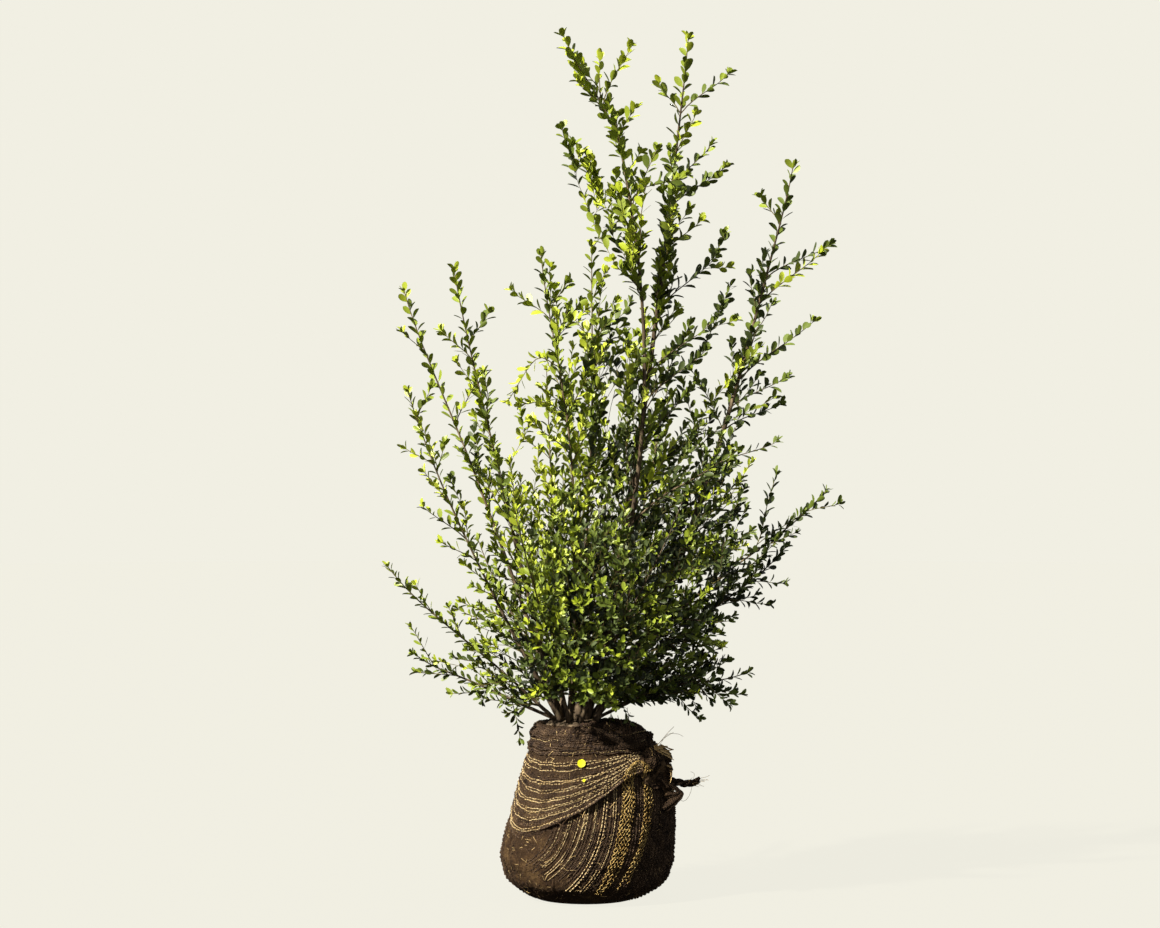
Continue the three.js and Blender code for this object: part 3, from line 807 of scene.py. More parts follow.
def thinning(aside, height):
    """How much further apart than usual the twigs stand, by metres right of the foot and height in the crown."""
    near = 1 - 0.34 * smooth(0.55, 0.75, height) + 0.5 * smooth(-0.01, -0.1, aside) * smooth(0.75, 0.6, height)
    near += 0.3 * smooth(0.26, 0.34, height) * smooth(0.6, 0.5, height) * smooth(-0.12, -0.05, aside)
    near += 0.9 * smooth(0.17, 0.21, aside) * smooth(0.5, 0.58, height)
    near += (0.45 * smooth(0.04, 0.07, aside) - 0.05 * smooth(0.05, 0.03, aside)) * smooth(0.68, 0.74, height)
    near += (0.5 * smooth(0.36, 0.42, height) * smooth(0.66, 0.58, height)
             * smooth(-0.13, -0.1, aside) * smooth(0.02, -0.02, aside))
    return near


def fill_targets(count, spacing, clear):
    """Seeded spots inside the crown, apart from each other and from the wood, more of them near its surface."""
    cells = np.argwhere(crown.depth >= 1)
    rng.shuffle(cells)
    spots = crown.low + (cells + rng.random(cells.shape)) * crown.CELL
    depth = crown.depth[tuple(cells.T)] * crown.CELL
    wanted = np.interp(depth, [0.006, 0.012, 0.035, 0.055, 0.075], [0.3, 1.0, 1.0, 0.5, 0.2])
    keep = rng.random(len(spots)) < wanted
    height = crown_share(spots[:, 2])
    keep &= rng.random(len(spots)) < 1 - smooth(0.3, 0.5, height) * smooth(0.15, -0.5, ripple(spots, 0.2, 2.0))
    axes = np.vstack([shoot.line[::2] for shoot in wood.shoots])
    taken, picked, around = {}, [], (-2, -1, 0, 1, 2)

    def block(spot):
        return tuple(np.floor(spot / spacing).astype(int))

    for spot in axes:
        taken.setdefault(block(spot), []).append((spot, clear))
    for spot in spots[keep]:
        here = block(spot)
        near = thinning(spot[0] - CROWN_ROOT[0], crown_share(spot[2]))
        crowd = [item for dx in around for dy in around for dz in around
                 for item in taken.get((here[0] + dx, here[1] + dy, here[2] + dz), ())]
        if any(np.linalg.norm(other - spot) < gap * near for other, gap in crowd):
            continue
        taken.setdefault(here, []).append((spot, spacing))
        picked.append(spot)
        if len(picked) >= count:
            break
    return picked


spare_tips = grow_limbs()
spare_tips = [tip + unit(CROWN_ROOT - tip) * SHORT_OF_TIP for tip in spare_tips]
spare_tips.sort(key=wood.distance)
grow_twigs(spare_tips, SPARE, least=0.05)
for extra in EXTRA_TWIGS:
    grow_extra(*extra)
grow_twigs(young_targets(count=46, spacing=0.05), YOUNG, least=0.12)
targets = fill_targets(count=1500, spacing=0.0215, clear=0.012)
targets.sort(key=lambda spot: wood.distance(spot) + 0.03 * rng.random())
grow_twigs(targets, FILL, least=0.065)


# ---------------------------------------------------------------- wood

LIMB_SIDES, TWIG_SIDES = 12, 5
THICK_TWIG = 1.0 * MM


def bark_relief(line, ring, run, angles, fat):
    """Long low ridges and knots on a limb's skin."""
    spots = (line[:, None, :] + ring * LIMB_STEP).reshape(-1, 3)
    ridges = ripple(spots * [1, 1, 0.22], 0.012, 2.0)
    knots = np.maximum(0, ripple(spots, 0.05, 5.0)) ** 2
    shape = (ridges * 0.075 + knots * 0.12).reshape(ring.shape[:2])
    return shape * np.minimum(fat, 0.006)[:, None]


def make_limbs(finish):
    """The limbs, each a piece of its own, swollen where it leaves the foot."""
    for shoot in wood.shoots:
        if shoot.limb is None:
            continue
        skin = Skin()
        run = np.arange(len(shoot.fat)) * LIMB_STEP
        fat = shoot.fat * (1 + 0.22 * np.exp(-run / 0.014))
        skin.tube(shoot.line, fat, LIMB_SIDES, relief=bark_relief)
        skin.piece(shoot.limb + "_bark", finish, "bark", [shoot.limb])


def make_twigs(old, young):
    """All twigs, the thick ones as one piece and the thin ones as another."""
    skins = {True: Skin(), False: Skin()}
    for shoot in wood.shoots:
        if shoot.limb is None:
            stride = 2 if len(shoot.line) > 6 else 1
            line, fat = shoot.line[::stride], shoot.fat[::stride]
            if (len(shoot.line) - 1) % stride:
                line, fat = np.vstack([line, shoot.line[-1:]]), np.append(fat, shoot.fat[-1])
            skins[shoot.fat[0] > THICK_TWIG].tube(line, fat, TWIG_SIDES)
    skins[True].piece("old_twigs", old, "bark")
    skins[False].piece("young_twigs", young, "bark")


# ---------------------------------------------------------------- leaves

LEAF_LENGTH, LEAF_WIDTH = 17.4 * MM, 9.2 * MM
LEAF_STEP = 5.3 * MM
LEAF_TURN = math.radians(137.5)
TUFT = 5


def quaternions(right, along, up):
    """Turns, as w x y z, that take the axes X Y Z to three directions."""
    m = np.stack([right, along, up], axis=2)

    def half(a, b, c):
        return np.sqrt(np.maximum(0, 1 + a * m[:, 0, 0] + b * m[:, 1, 1] + c * m[:, 2, 2])) / 2

    w, x, y, z = half(1, 1, 1), half(1, -1, -1), half(-1, 1, -1), half(-1, -1, 1)
    x = np.copysign(x, m[:, 2, 1] - m[:, 1, 2])
    y = np.copysign(y, m[:, 0, 2] - m[:, 2, 0])
    z = np.copysign(z, m[:, 1, 0] - m[:, 0, 1])
    return unit(np.stack([w, x, y, z], axis=1))


def blade_tree(name, columns, rows, along, half, sizes):
    """Blades on points: a strip shaped by two curves, cupped and arched, turned and sized by each point."""
    board, size = geometry_tree(name, sizes)
    grid = board.add("GeometryNodeMeshGrid", {}, {
        "Size X": 2.0, "Size Y": 1.0, "Vertices X": columns, "Vertices Y": rows})
    across, row = board.parts(board.add("GeometryNodeInputPosition"))
    share = row + 0.5
    along = board.add("ShaderNodeFloatCurve", {"curve": along}, {"Value": share})
    half = board.add("ShaderNodeFloatCurve", {"curve": half}, {"Value": share}) * size["Width"] * 0.5
    lift = across * across * half * size["Cup"] * 2.0 - along * along * size["Length"] * size["Arch"]
    place = board.add("ShaderNodeCombineXYZ", {}, {0: across * half, 1: along * size["Length"], 2: lift})
    blade = board.add("GeometryNodeSetPosition", {}, {"Geometry": grid, "Position": place})
    return strewn(board, size, blade)


def crumb_tree():
    """Rounded crumbs on points."""
    board, size = geometry_tree("crumbs", {"Radius": 1.5 * MM})
    crumb = board.add("GeometryNodeMeshIcoSphere", {}, {"Radius": size["Radius"], "Subdivisions": 1})
    return strewn(board, size, crumb)


def strewn(board, size, thing):
    """A tree's end: one thing on every point, with the turn and size that the point carries."""
    turn = board.add("GeometryNodeInputNamedAttribute", {"data_type": "QUATERNION"}, {"Name": "turn"})
    scale = board.add("GeometryNodeInputNamedAttribute", {"data_type": "FLOAT_VECTOR"}, {"Name": "size"})
    return ended(board, size, board.add("GeometryNodeInstanceOnPoints", {}, {
        "Points": size["Geometry"], "Instance": thing, "Rotation": turn, "Scale": scale}))


def turned(along, up):
    """Turns that lay a blade along one way, with its upper side to another."""
    up = unit(up - (up * along).sum(axis=1)[:, None] * along)
    return quaternions(np.cross(along, up), along, up)


def scatter(name, tree, finish, slot, spots, along, up, sizes, stands_for=()):
    """A piece made of many copies of what a tree places."""
    data = grown(name, spots, tree, finish, {
        "turn": ("QUATERNION", "value", turned(along, up)), "size": ("FLOAT_VECTOR", "vector", sizes)})
    for key in ("turn", "size"):
        if key in data.attributes:
            data.attributes.remove(data.attributes[key])
    return settle(data, name, finish, stands_for)


class Leaves:
    """The leaves of the whole shrub, gathered by tint, with the most that one piece may hold."""

    MOST = 8000

    def __init__(self):
        self.rows = {tint: [] for tint in LEAF_TINTS}

    def add(self, tint, *row):
        self.rows[tint].append(row)

    def pieces(self, finishes, masses):
        """A piece for each tint, or more where one would be too heavy."""
        tree = blade_tree("leaves_on_twigs", 3, 6,
                          [(0, 0), (0.2, 0.12), (0.4, 0.34), (0.6, 0.62), (0.8, 0.87), (1, 1)],
                          [(0, 0.08), (0.2, 0.26), (0.4, 0.8), (0.6, 1.0), (0.8, 0.8), (1, 0.22)],
                          {"Length": LEAF_LENGTH, "Width": LEAF_WIDTH, "Cup": 0.16, "Arch": 0.1})
        for tint, rows in self.rows.items():
            rows = [np.vstack(part) for part in zip(*rows)]
            for number, first in enumerate(range(0, len(rows[0]), self.MOST), 1):
                part = [row[first:first + self.MOST] for row in rows]
                scatter(f"leaves_{tint}_{number}", tree, finishes[tint], "foliage", *part,
                        stands_for=masses.get(tint, ()) if number == 1 else ())


TINT_ORDER = list(LEAF_TINTS)
TINT_EDGES = (0.955, 0.74, 0.56, 0.36, 0.16)


def tint_of(youth_and_light):
    """The tint for a value from 0, old leaves in painted shade, to 1, new growth in painted sunlight."""
    return TINT_ORDER[sum(youth_and_light < edge for edge in TINT_EDGES)]


def in_patch(aside, height, middle, size):
    """1 in the middle of a patch of the crown, and less the further from it."""
    return math.exp(-((aside - middle[0]) / size[0])**2 - ((height - middle[1]) / size[1])**2)


def youth_and_light_of(shoot, height):
    """How young a shoot's leaves look, mixed with painted light: painted sunlight high up and at the sunny left,
    painted shade deeper under the crown's surface, and some chance.
    """
    tip, tip_depth = shoot.line[-1], crown.depth_at(shoot.line[-1:])[0]
    aside, sunny = tip[0] - CROWN_ROOT[0], (CROWN_ROOT[0] + 0.1 - tip[0]) / 0.3
    # glow is a painted pool of light left of the crown's foot, and shadow a patch of painted shade right of it.
    glow = in_patch(aside, height, (-0.05, 0.42), (0.07, 0.16))
    shadow = in_patch(aside, height, (0.09, 0.36), (0.06, 0.16))
    chance = rng.normal(0, 0.21 if shoot.order > SPARE else 0.08)
    # Height and sunny add painted sunlight from above and the left, and depth under the surface takes off painted
    # shade; this year's long shoots look younger.
    return (0.42 + 0.42 * (height - 0.45) + 0.2 * sunny + 0.22 * glow - 0.1 * shadow
            - 4.0 * max(0.0, tip_depth - 0.024) + chance + (0.3 if shoot.order == YOUNG else 0))


def dress(leaves, shoot):
    """Leaves along a shoot in a spiral, turned up to the light on a level shoot, with a tuft at its tip."""
    run = run_of(shoot.line)
    total = run[-1]
    height = crown_share(shoot.line[-1, 2])
    vigour = 0.86 + 0.2 * smooth(0.2, 0.8, height)
    stops = np.arange(shoot.leafy_from * total, total - 0.002, LEAF_STEP * vigour * rng.uniform(0.85, 1.3))
    if len(stops) < 1:
        return
    stops = stops + rng.uniform(-0.0012, 0.0012, len(stops))
    tuft = np.full(TUFT, total - 0.0015) + rng.uniform(-0.0015, 0.001, TUFT)
    stops = np.concatenate([stops, tuft])
    count = len(stops)
    spots = read_off(stops, run, shoot.line)
    ways = unit(read_off(stops, run, headings(shoot.line)))
    fats = np.interp(stops, run, shoot.fat)
    depth = crown.depth_at(spots)
    keep = rng.random(count) < np.interp(depth, [0.0, 0.03, 0.06], [1.0, 0.9, 0.4])
    keep &= fats < 0.0034
    side = unit(np.cross(ways, np.array([0.31, 0.83, 0.46])))
    over = np.cross(ways, side)
    spin = rng.uniform(0, math.tau) + np.arange(count) * LEAF_TURN + rng.normal(0, 0.25, count)
    out = side * np.cos(spin)[:, None] + over * np.sin(spin)[:, None]
    level = 1 - np.abs(ways[:, 2:])
    out = unit(out + UP * level * 0.5)
    out = unit(out - (out * ways).sum(axis=1)[:, None] * ways)
    near_tip = np.clip(1 - (total - stops) / 0.03, 0, 1)
    spread = np.radians(rng.normal(43, 8, count) - 14 * near_tip)
    spread[-TUFT:] = np.radians(rng.uniform(14, 58, TUFT))
    along = unit(ways * np.cos(spread)[:, None] + out * np.sin(spread)[:, None] + 0.1 * UP)
    up = unit(ways + 0.22 * UP + rng.normal(0, 0.42, (count, 3)))
    size = rng.normal(1.0, 0.13, count) * (1 - 0.28 * near_tip) * (0.82 + 0.18 * np.clip(stops / 0.03, 0, 1))
    size[-TUFT:] *= rng.uniform(0.85, 1.15, TUFT)
    size = np.clip(size, 0.5, 1.3) * vigour
    width = size * rng.uniform(0.86, 1.14, count) * (vigour - 0.04)
    sizes = np.stack([width, size, size * rng.uniform(0.2, 1.9, count)], axis=1)
    youth_and_light = youth_and_light_of(shoot, height)
    # Leaves near the tip look younger; deep in the crown they are darkened as painted shade.
    youths_and_light = youth_and_light + 0.2 * np.clip(1 - (total - stops) / 0.05, 0, 1) - 1.2 * np.maximum(0, depth - 0.03)
    steps = np.array([tint_of(value) for value in youths_and_light])
    for tint in set(steps.tolist()):
        mine = keep & (steps == tint)
        if mine.any():
            leaves.add(tint, (spots + out * fats[:, None] * 0.7)[mine], along[mine], up[mine], sizes[mine])


# ---------------------------------------------------------------- the wrapped ball

class Ball:
    """The root ball's wall, measured from its CAD solid and smoothed, by azimuth and height."""

    COLUMNS, ROWS = 180, 66
    OUTSIDE = 0.3

    def __init__(self):
        low, high = box_of("root_ball")
        self.axis, self.top = (low[:2] + high[:2]) / 2, high[2]
        corners, faces, _ = cad_shape("root_ball")
        tree = BVHTree.FromPolygons(corners.tolist(), faces.tolist())
        self.heights = 0.5 * self.top * (1 - np.cos(np.linspace(0.02, 0.985, self.ROWS) * math.pi))
        table = np.zeros((self.ROWS, self.COLUMNS))
        for i, height in enumerate(self.heights):
            for j in range(self.COLUMNS):
                angle = math.tau * j / self.COLUMNS
                way = Vector((math.cos(angle), math.sin(angle), 0))
                start = Vector((*self.axis, height)) + way * self.OUTSIDE
                hit = tree.ray_cast(start, -way)[0]
                table[i, j] = self.OUTSIDE - (start - hit).length if hit else table[i - 1, j]
        for _ in range(3):
            table = (np.roll(table, 1, 1) + 2 * table + np.roll(table, -1, 1)) / 4
            table[1:-1] = (table[:-2] + 2 * table[1:-1] + table[2:]) / 4
        self.table = table

    def radius(self, azimuth, height):
        """The wall's distance from the axis, read between the table's rows and columns."""
        row = np.interp(height, self.heights, np.arange(self.ROWS))
        column = np.mod(azimuth / math.tau, 1.0) * self.COLUMNS
        i, j = np.minimum(row.astype(int), self.ROWS - 2), column.astype(int) % self.COLUMNS
        a, b, k = row - i, column - column.astype(int), (j + 1) % self.COLUMNS
        t = self.table
        return t[i, j] * (1 - a) * (1 - b) + t[i + 1, j] * a * (1 - b) + t[i, k] * (1 - a) * b + t[i + 1, k] * a * b

    def wall(self, azimuth, height):
        """Spots on the wall, and the ways that it faces there."""
        azimuth, height = np.asarray(azimuth, float), np.asarray(height, float)

        def at(a, h):
            r = self.radius(a, h)
            return np.stack([self.axis[0] + r * np.cos(a), self.axis[1] + r * np.sin(a), h], axis=-1)

        around = at(azimuth + 0.03, height) - at(azimuth - 0.03, height)
        above, below = np.minimum(height + 0.003, self.heights[-1]), np.maximum(height - 0.003, self.heights[0])
        rise = at(azimuth, above) - at(azimuth, below)
        return at(azimuth, height), unit(np.cross(around, rise))


ball = Ball()
KNOT = sum(box_of("wrap_knot")) / 2
KNOT_AZIMUTH = math.atan2(KNOT[1] - ball.axis[1], KNOT[0] - ball.axis[0])
KNOT_OUT = np.array([math.cos(KNOT_AZIMUTH), math.sin(KNOT_AZIMUTH), 0.0])
KNOT_SIDE = np.array([-KNOT_OUT[1], KNOT_OUT[0], 0.0])

# The cloth hangs in swags between this knot and a gather behind. Each half of the ball has a swag that starts level
# at its knot, falls to its lowest, and climbs late to the other end, slowly at first. Its lower threads start and
# turn further round from the knot. The heights are of its top thread, with the drop from it to the fold, where the
# cloth is gathered and where it hangs lowest. GIRTH is the ball's mean radius, by which angles become lengths.
GATHER_TOP, GATHER_DROP = 0.223, 0.028
LOW_TOP, LOW_DROP = 0.212, 0.110
GIRTH = 0.125


def swag_fall(order, turn):
    """How far a thread of a swag has fallen, 0 at a knot and 1 at its lowest, at an angle round from its knot."""
    order = np.clip(order, -0.2, 1.2)
    first, lowest = np.radians(18 + 9 * order), np.radians(93 + 19 * order)
    start = (turn - first) / (lowest - first)
    start = np.clip((start + np.sqrt(start**2 + 0.006)) / 2, 0, 1)
    climb = np.clip((turn - lowest) / (math.pi - lowest), 0, 1)
    return np.where(turn < lowest, 1 - (1 - start)**(1.95 - 0.55 * order), 1 - climb**1.9)


def swag_height(order, turn):
    """Height of a thread of the swag, from order 0 at its top to 1 at the fold."""
    fall = swag_fall(order, turn)
    return (GATHER_TOP - GATHER_DROP * order) * (1 - fall) + (LOW_TOP - LOW_DROP * order) * fall


def swag_order(turn, height):
    """The order of the thread of the swag that lies at a height, found by closing in on it."""
    order = np.full(np.shape(turn), 0.5)
    for _ in range(8):
        fall = swag_fall(order, turn)
        found = (GATHER_TOP * (1 - fall) + LOW_TOP * fall - height) / (GATHER_DROP * (1 - fall) + LOW_DROP * fall)
        order = 0.4 * order + 0.6 * found
    return order


def turn_from_knot(azimuth):
    """The half of the ball, 0 in front or 1 behind, and the angle round from that half's knot."""
    turn = np.mod(KNOT_AZIMUTH - azimuth, math.tau)
    half = (turn > math.pi).astype(int)
    return half, turn - half * math.pi


def wall_relief(azimuth, height):
    """Spots on the wall, the ways it faces, the cloth's lift off it, and where the upper flap is, with its orders."""
    _, turn = turn_from_knot(azimuth)
    order = swag_order(turn, height)
    flap = smooth(1.03, 0.985, order) * smooth(0.24, 0.226, height)
    spots, faces = ball.wall(azimuth, height)
    slack = ripple(spots, 0.11, 3.0) * 0.0018
    slack += ripple(spots, 0.035, 6.0) * 0.0011
    slack += ripple(spots, 0.012, 8.0) * 0.0006
    rolls = 0.0032 * np.exp(-((height - 0.244) / 0.006)**2) + 0.0024 * np.exp(-((height - 0.2295) / 0.0045)**2)
    fold = 0.0028 * np.exp(-((order - 0.965) / 0.04)**2)
    lift = flap * (0.003 + fold) * smooth(1.95, 1.3, turn) + slack * smooth(0.0, 0.03, height) + rolls - 0.0012
    return spots, faces, lift, flap, order


def on_wall(azimuth, height, out=0.0):
    """Spots on the wrapped surface, or a little off it, and the ways it faces."""
    spots, faces, lift, _, _ = wall_relief(azimuth, height)
    return spots + faces * (lift + out)[:, None], faces


def fine(azimuth, height, step):
    """A course on the wall cut at an even fine step."""
    run = run_of(ball.wall(azimuth, height)[0])
    stops = np.linspace(0, run[-1], max(4, int(run[-1] / step)))
    return np.interp(stops, run, azimuth), np.interp(stops, run, height)


def swag_line(order, half, step, start=0.0, end=math.pi):
    """The course of a thread of the swag, from one angle round from its knot to another."""
    turn = np.linspace(start, end, 120)
    return fine(KNOT_AZIMUTH - half * math.pi - turn, swag_height(order, turn), step)


def fan_line(start, half, step):
    """A thread of the under layer: down from the fold, bending away from its knot. It starts at degrees from it."""
    bend = 29 * smooth(-35, 25, start)
    low = max(0.004, 0.009 + 0.00087 * (start - 28))
    first, last = math.radians(start), math.radians(start + bend)
    top = float(swag_height(0.97, np.array(max(first, 0.02))))
    t = np.linspace(0, 1, 50)

    def bent(begin, pull, finish):
        return (1 - t)**2 * begin + 2 * (1 - t) * t * pull + t**2 * finish

    turn = bent(first, first + 0.16 * (last - first), last)
    height = bent(top, low + 0.26 * (top - low), low)
    return fine(KNOT_AZIMUTH - half * math.pi - turn, height, step)


def knot_course(stops, half, step):
    """A course on the wall through stops given as degrees from the knot and heights in metres."""
    line = evened([(math.radians(turn) * GIRTH, height, 0) for turn, height in stops], step)
    return fine(KNOT_AZIMUTH - half * math.pi - line[:, 0] / GIRTH, line[:, 1], step)


def make_cloth(finish):
    """The jute skin: rolled rim, upper flap with its fold, under layer, and the flat underside."""
    columns, rows = 420, 190
    azimuth = np.linspace(0, math.tau, columns, endpoint=False)
    height = np.interp(np.linspace(0, 1, rows), np.linspace(0, 1, ball.ROWS), ball.heights)
    a, h = (part.ravel() for part in np.meshgrid(azimuth, height))
    spots, faces, lift, flap, order = wall_relief(a, h)
    turn = turn_from_knot(a)[1]
    puckers = np.sin(order * 44 + 0.8 * ripple(spots, 0.05, 1.0)) * 0.0007 * flap
    pleats = np.abs(np.sin(a * 34 + 2.0 * ripple(spots, 0.07, 2.0))) * 0.0016 * smooth(0.222, 0.232, h)
    grain = ripple(spots, 0.0045, 5.0) * 0.0003
    spots = spots + faces * (lift + puckers + pleats + grain)[:, None]
    spots[:, 2] = np.maximum(spots[:, 2], 0.0004)
    spots[:columns, 2] = 0.0
    lip = ball.wall(azimuth, np.full(columns, ball.top - 0.0005))[0]
    centre = np.array([*ball.axis, 0])
    rim, hem = [], []
    for inward, drop in ((0.003, 0.0), (0.008, 0.003), (0.014, 0.009)):
        ring = lip.copy()
        ring[:, :2] += unit(centre[:2] - lip[:, :2]) * inward
        ring[:, 2] = ball.top - drop - 0.0005 + 0.0012 * ripple(ring, 0.02, 2.0)
        rim.append(ring)
    foot = spots[:columns]
    for share in (0.94, 0.6, 0.25):
        hem.append(centre + (foot - centre) * share)
    skin = Skin()
    corners = np.vstack([*hem[::-1], spots, *rim, centre[None]])
    levels = rows + len(hem) + len(rim)
    quads = []
    for i in range(0, (levels - 1) * columns, columns):
        quads += [(i + j, i + (j + 1) % columns, i + columns + (j + 1) % columns, i + columns + j)
                  for j in range(columns)]
    quads += [(len(corners) - 1, (j + 1) % columns, j) for j in range(columns)]
    round_ = np.tile(azimuth * 0.12, levels)
    upright = np.concatenate([np.repeat([-0.1, -0.06, -0.02], columns), h, np.repeat([0.264, 0.27, 0.278], columns)])
    skin.add(corners, quads, np.vstack([np.stack([round_, upright], axis=1), [0, 0]]))
    low_left = smooth(1.2, 1.6, turn) * smooth(2.9, 2.4, turn) * smooth(0.15, 0.08, h)
    earthy = 0.24 + 0.7 * low_left + 0.3 * smooth(0.05, 0.0, h) - 0.25 * smooth(0.35, 0.1, turn) + 0.12 * flap
    earthy = np.concatenate([np.full(3 * columns, 0.8), earthy, np.full(3 * columns, 0.4), [0.8]])
    skin.piece("ball_wrap", finish, "jute", ["root_ball"], {"earthy": earthy})


FINE, COARSE = 1.3 * MM, 2.0 * MM


def yarn(skin, course, fat, dip, step=6.2 * MM, rise=0.0, sides=4, span=(0, 1), wander=0.0, lift=0.0):
    """A yarn along a span of a course on the wrapped wall. It dips under the weave at an even step."""
    azimuth, height = course
    first = int(span[0] * len(azimuth))
    keep = slice(first, max(int(span[1] * len(azimuth)), first + 3))
    azimuth, height, seed = azimuth[keep], height[keep], rng.uniform(0, 6)
    if len(azimuth) < 3:
        return
    height = height + wander * (np.sin(azimuth * 17 + seed) + 0.6 * np.sin(azimuth * 41 + 2 * seed))
    height = np.clip(height, 0.0015, ball.top - 0.002)
    spots, faces = on_wall(azimuth, height)
    wave = np.sin(run_of(spots) * math.tau / step + seed)
    spots = spots + faces * (rise + dip * wave + (lift[keep] if np.ndim(lift) else lift))[:, None]
    spots[:, 2] = np.maximum(spots[:, 2], fat + 0.0002)
    skin.tube(spots, fat * (1 + 0.12 * wave), sides, outward=faces)


def make_swag_yarns(pale, dark):
    """The pale yarns of the upper flap in uneven broken pairs, with brown ones between them."""
    for half in (0, 1):
        for i in range(8):
            order = (i + 0.3) / 8 + rng.normal(0, 0.01)
            strength = rng.uniform(0.75, 1.1)
            for j in (-1, 1):
                cuts = np.sort(np.concatenate([[0, 1], rng.uniform(0.1, 0.9, 4)]))
                for first, last in zip(cuts[:-1], cuts[1:]):
                    if rng.random() > (0.12 if half == 0 else 0.25):
                        yarn(pale, swag_line(order + 0.017 * j, half, FINE), rng.uniform(0.0005, 0.0008) * strength,
                             0.0009, rise=rng.uniform(0.0001, 0.0006), sides=5, span=(first, last), wander=0.0006)
            for k in range(4):
                yarn(dark, swag_line(order + 0.034 + 0.022 * k, half, COARSE, 0.03, math.pi - 0.03),
                     rng.uniform(0.0005, 0.0009), 0.0007, step=rng.uniform(5, 7) * MM, rise=0.0002, wander=0.0009)
        for order in (0.955, 0.985):
            yarn(dark, swag_line(order, half, COARSE, 0.2, 1.65), 0.0013, 0.0006, rise=0.0006, wander=0.0004)


# The pale yarns of the under layer: where each leaves the fold, in degrees from the knot, how far the two of a pair
# stand either side of that, how thick it is, and how far down it reaches.
PALE_FAN = ((39, 1.0, 0.8, 0.95), (46.5, 1.1, 1.15, 1.0), (54, 0.0, 1.0, 0.16), (53, 0.0, 0.6, 0.7),
            (60.5, 1.1, 0.9, 0.98), (66, 0.9, 0.8, 0.9), (72, 0.8, 0.7, 0.8), (79, 0.0, 0.7, 0.7))


def hanging(turn, slant, half):
    """A course from the fold down to the ball's foot, slanting away from the knot by degrees."""
    top = float(swag_height(1.0, np.array(math.radians(turn))))
    return knot_course(((turn, top), (turn + slant[0], top * 0.5), (turn + slant[1], 0.006)), half, COARSE)


def make_fan_yarns(pale, dark):
    """The yarns of the under layer: pale ones, brown ones close together, and stitches beside the knot."""
    for half in (0, 1):
        for start, pair, thick, end in PALE_FAN:
            for j in ((-1, 1) if pair else (0,)):
                cuts = np.sort(np.concatenate([[0, end], rng.uniform(0.15, 0.85, 2) * end]))
                for first, last in zip(cuts[:-1], cuts[1:]):
                    if rng.random() > 0.1:
                        yarn(pale, fan_line(start + j * pair, half, FINE), rng.uniform(0.0006, 0.0008) * thick,
                             0.0009, rise=0.0006, sides=5, span=(first, last), wander=0.0003)
        for start in np.arange(-34, 84, 2.1):
            yarn(dark, fan_line(start + rng.normal(0, 0.4), half, COARSE), rng.uniform(0.0006, 0.001), 0.0008,
                 step=rng.uniform(4.5, 6.5) * MM, rise=0.0003, wander=0.0005, span=(0, rng.uniform(0.8, 1)))
        for start in np.arange(-30, 12, 3.3):
            yarn(dark, fan_line(start, half, COARSE), 0.0014, 0.0014, step=6.5 * MM, rise=0.0002, wander=0.0002)
        for turn in np.arange(88, 150, 5.0):
            first = rng.uniform(0, 0.7)
            yarn(dark, hanging(turn, (6, 14), half), 0.0007, 0.0009,
                 rise=0.0002, wander=0.0008, span=(first, first + 0.3))
        for turn in np.arange(150, 181, 2.6):
            yarn(dark, hanging(turn, (1, 2), half), 0.0008, 0.0008, step=5.2 * MM, rise=0.0002, wander=0.0006)


def make_collar_yarns(pale, dark):
    """Yarns round the rolled rim, most of them brown."""
    for height in (0.2225, 0.2275, 0.233, 0.238, 0.2425, 0.2475, 0.2525, 0.2565):
        azimuth, parts = np.linspace(0, math.tau, 200), 6
        sway = 0.0014 * np.sin(azimuth * 3 + height * 900)
        course = fine(azimuth, height + sway + 0.0008 * np.sin(azimuth * 11), COARSE)
        for j in (-1, 1):
            for part in range(parts):
                tone = pale if rng.random() < 0.22 else dark
                fat = rng.uniform(0.0009, 0.0015) * (0.55 if tone is pale else 1.0)
                yarn(tone, (course[0], course[1] + 0.0012 * j), fat, 0.001, step=6.4 * MM,
                     rise=0.0012, span=(part / parts, (part + 1) / parts + 0.01), wander=0.0005)


# The two golden strands: their courses, as degrees from the knot and heights, how many yarns lie side by side, and
# how far apart. A yarn sways between its neighbours once in each link of the chain.
GOLDEN_STRANDS = (
    (((20, 0.208), (25, 0.203), (28.5, 0.188), (29.5, 0.155), (34, 0.118), (39, 0.078), (46, 0.045), (56, 0.009)), 8),
    (((19, 0.208), (15.5, 0.202), (13.5, 0.188), (13.6, 0.152), (17, 0.118), (22, 0.088), (29, 0.06), (38, 0.022)), 6))
GOLDEN_PITCH, GOLDEN_LINK, GOLDEN_STEP = 2.7 * MM, 0.0082, 0.9 * MM


def make_golden_bundles(gold):
    """A tuft tied under the knot that falls in two strands of yarns, linked side to side like a chain."""
    for half in (0, 1):
        for stops, count in GOLDEN_STRANDS:
            for k in range(count):
                azimuth, height = knot_course(stops, half, GOLDEN_STEP)
                run = np.arange(len(azimuth)) * GOLDEN_STEP
                spread = 0.25 + 0.75 * smooth(0, 0.03, run)
                aside = (k - (count - 1) / 2) * GOLDEN_PITCH * spread
                aside += (k % 2 - 0.5) * 0.0024 * np.sin(run * math.tau / GOLDEN_LINK)
                aside += 0.001 * ripple(np.stack([run, run * 0 + k, run * 0], axis=1), 0.05, k)
                lift = (0.0095 if half == 0 else 0.004) * np.exp(-((run - 0.008) / 0.016)**2) + 0.0012
                yarn(gold, (azimuth + aside / GIRTH, height), rng.uniform(0.0005, 0.0008), 0.0009, step=8.2 * MM,
                     span=(0, rng.uniform(0.8, 1.0) if k % 3 else rng.uniform(0.55, 0.9)), lift=lift)


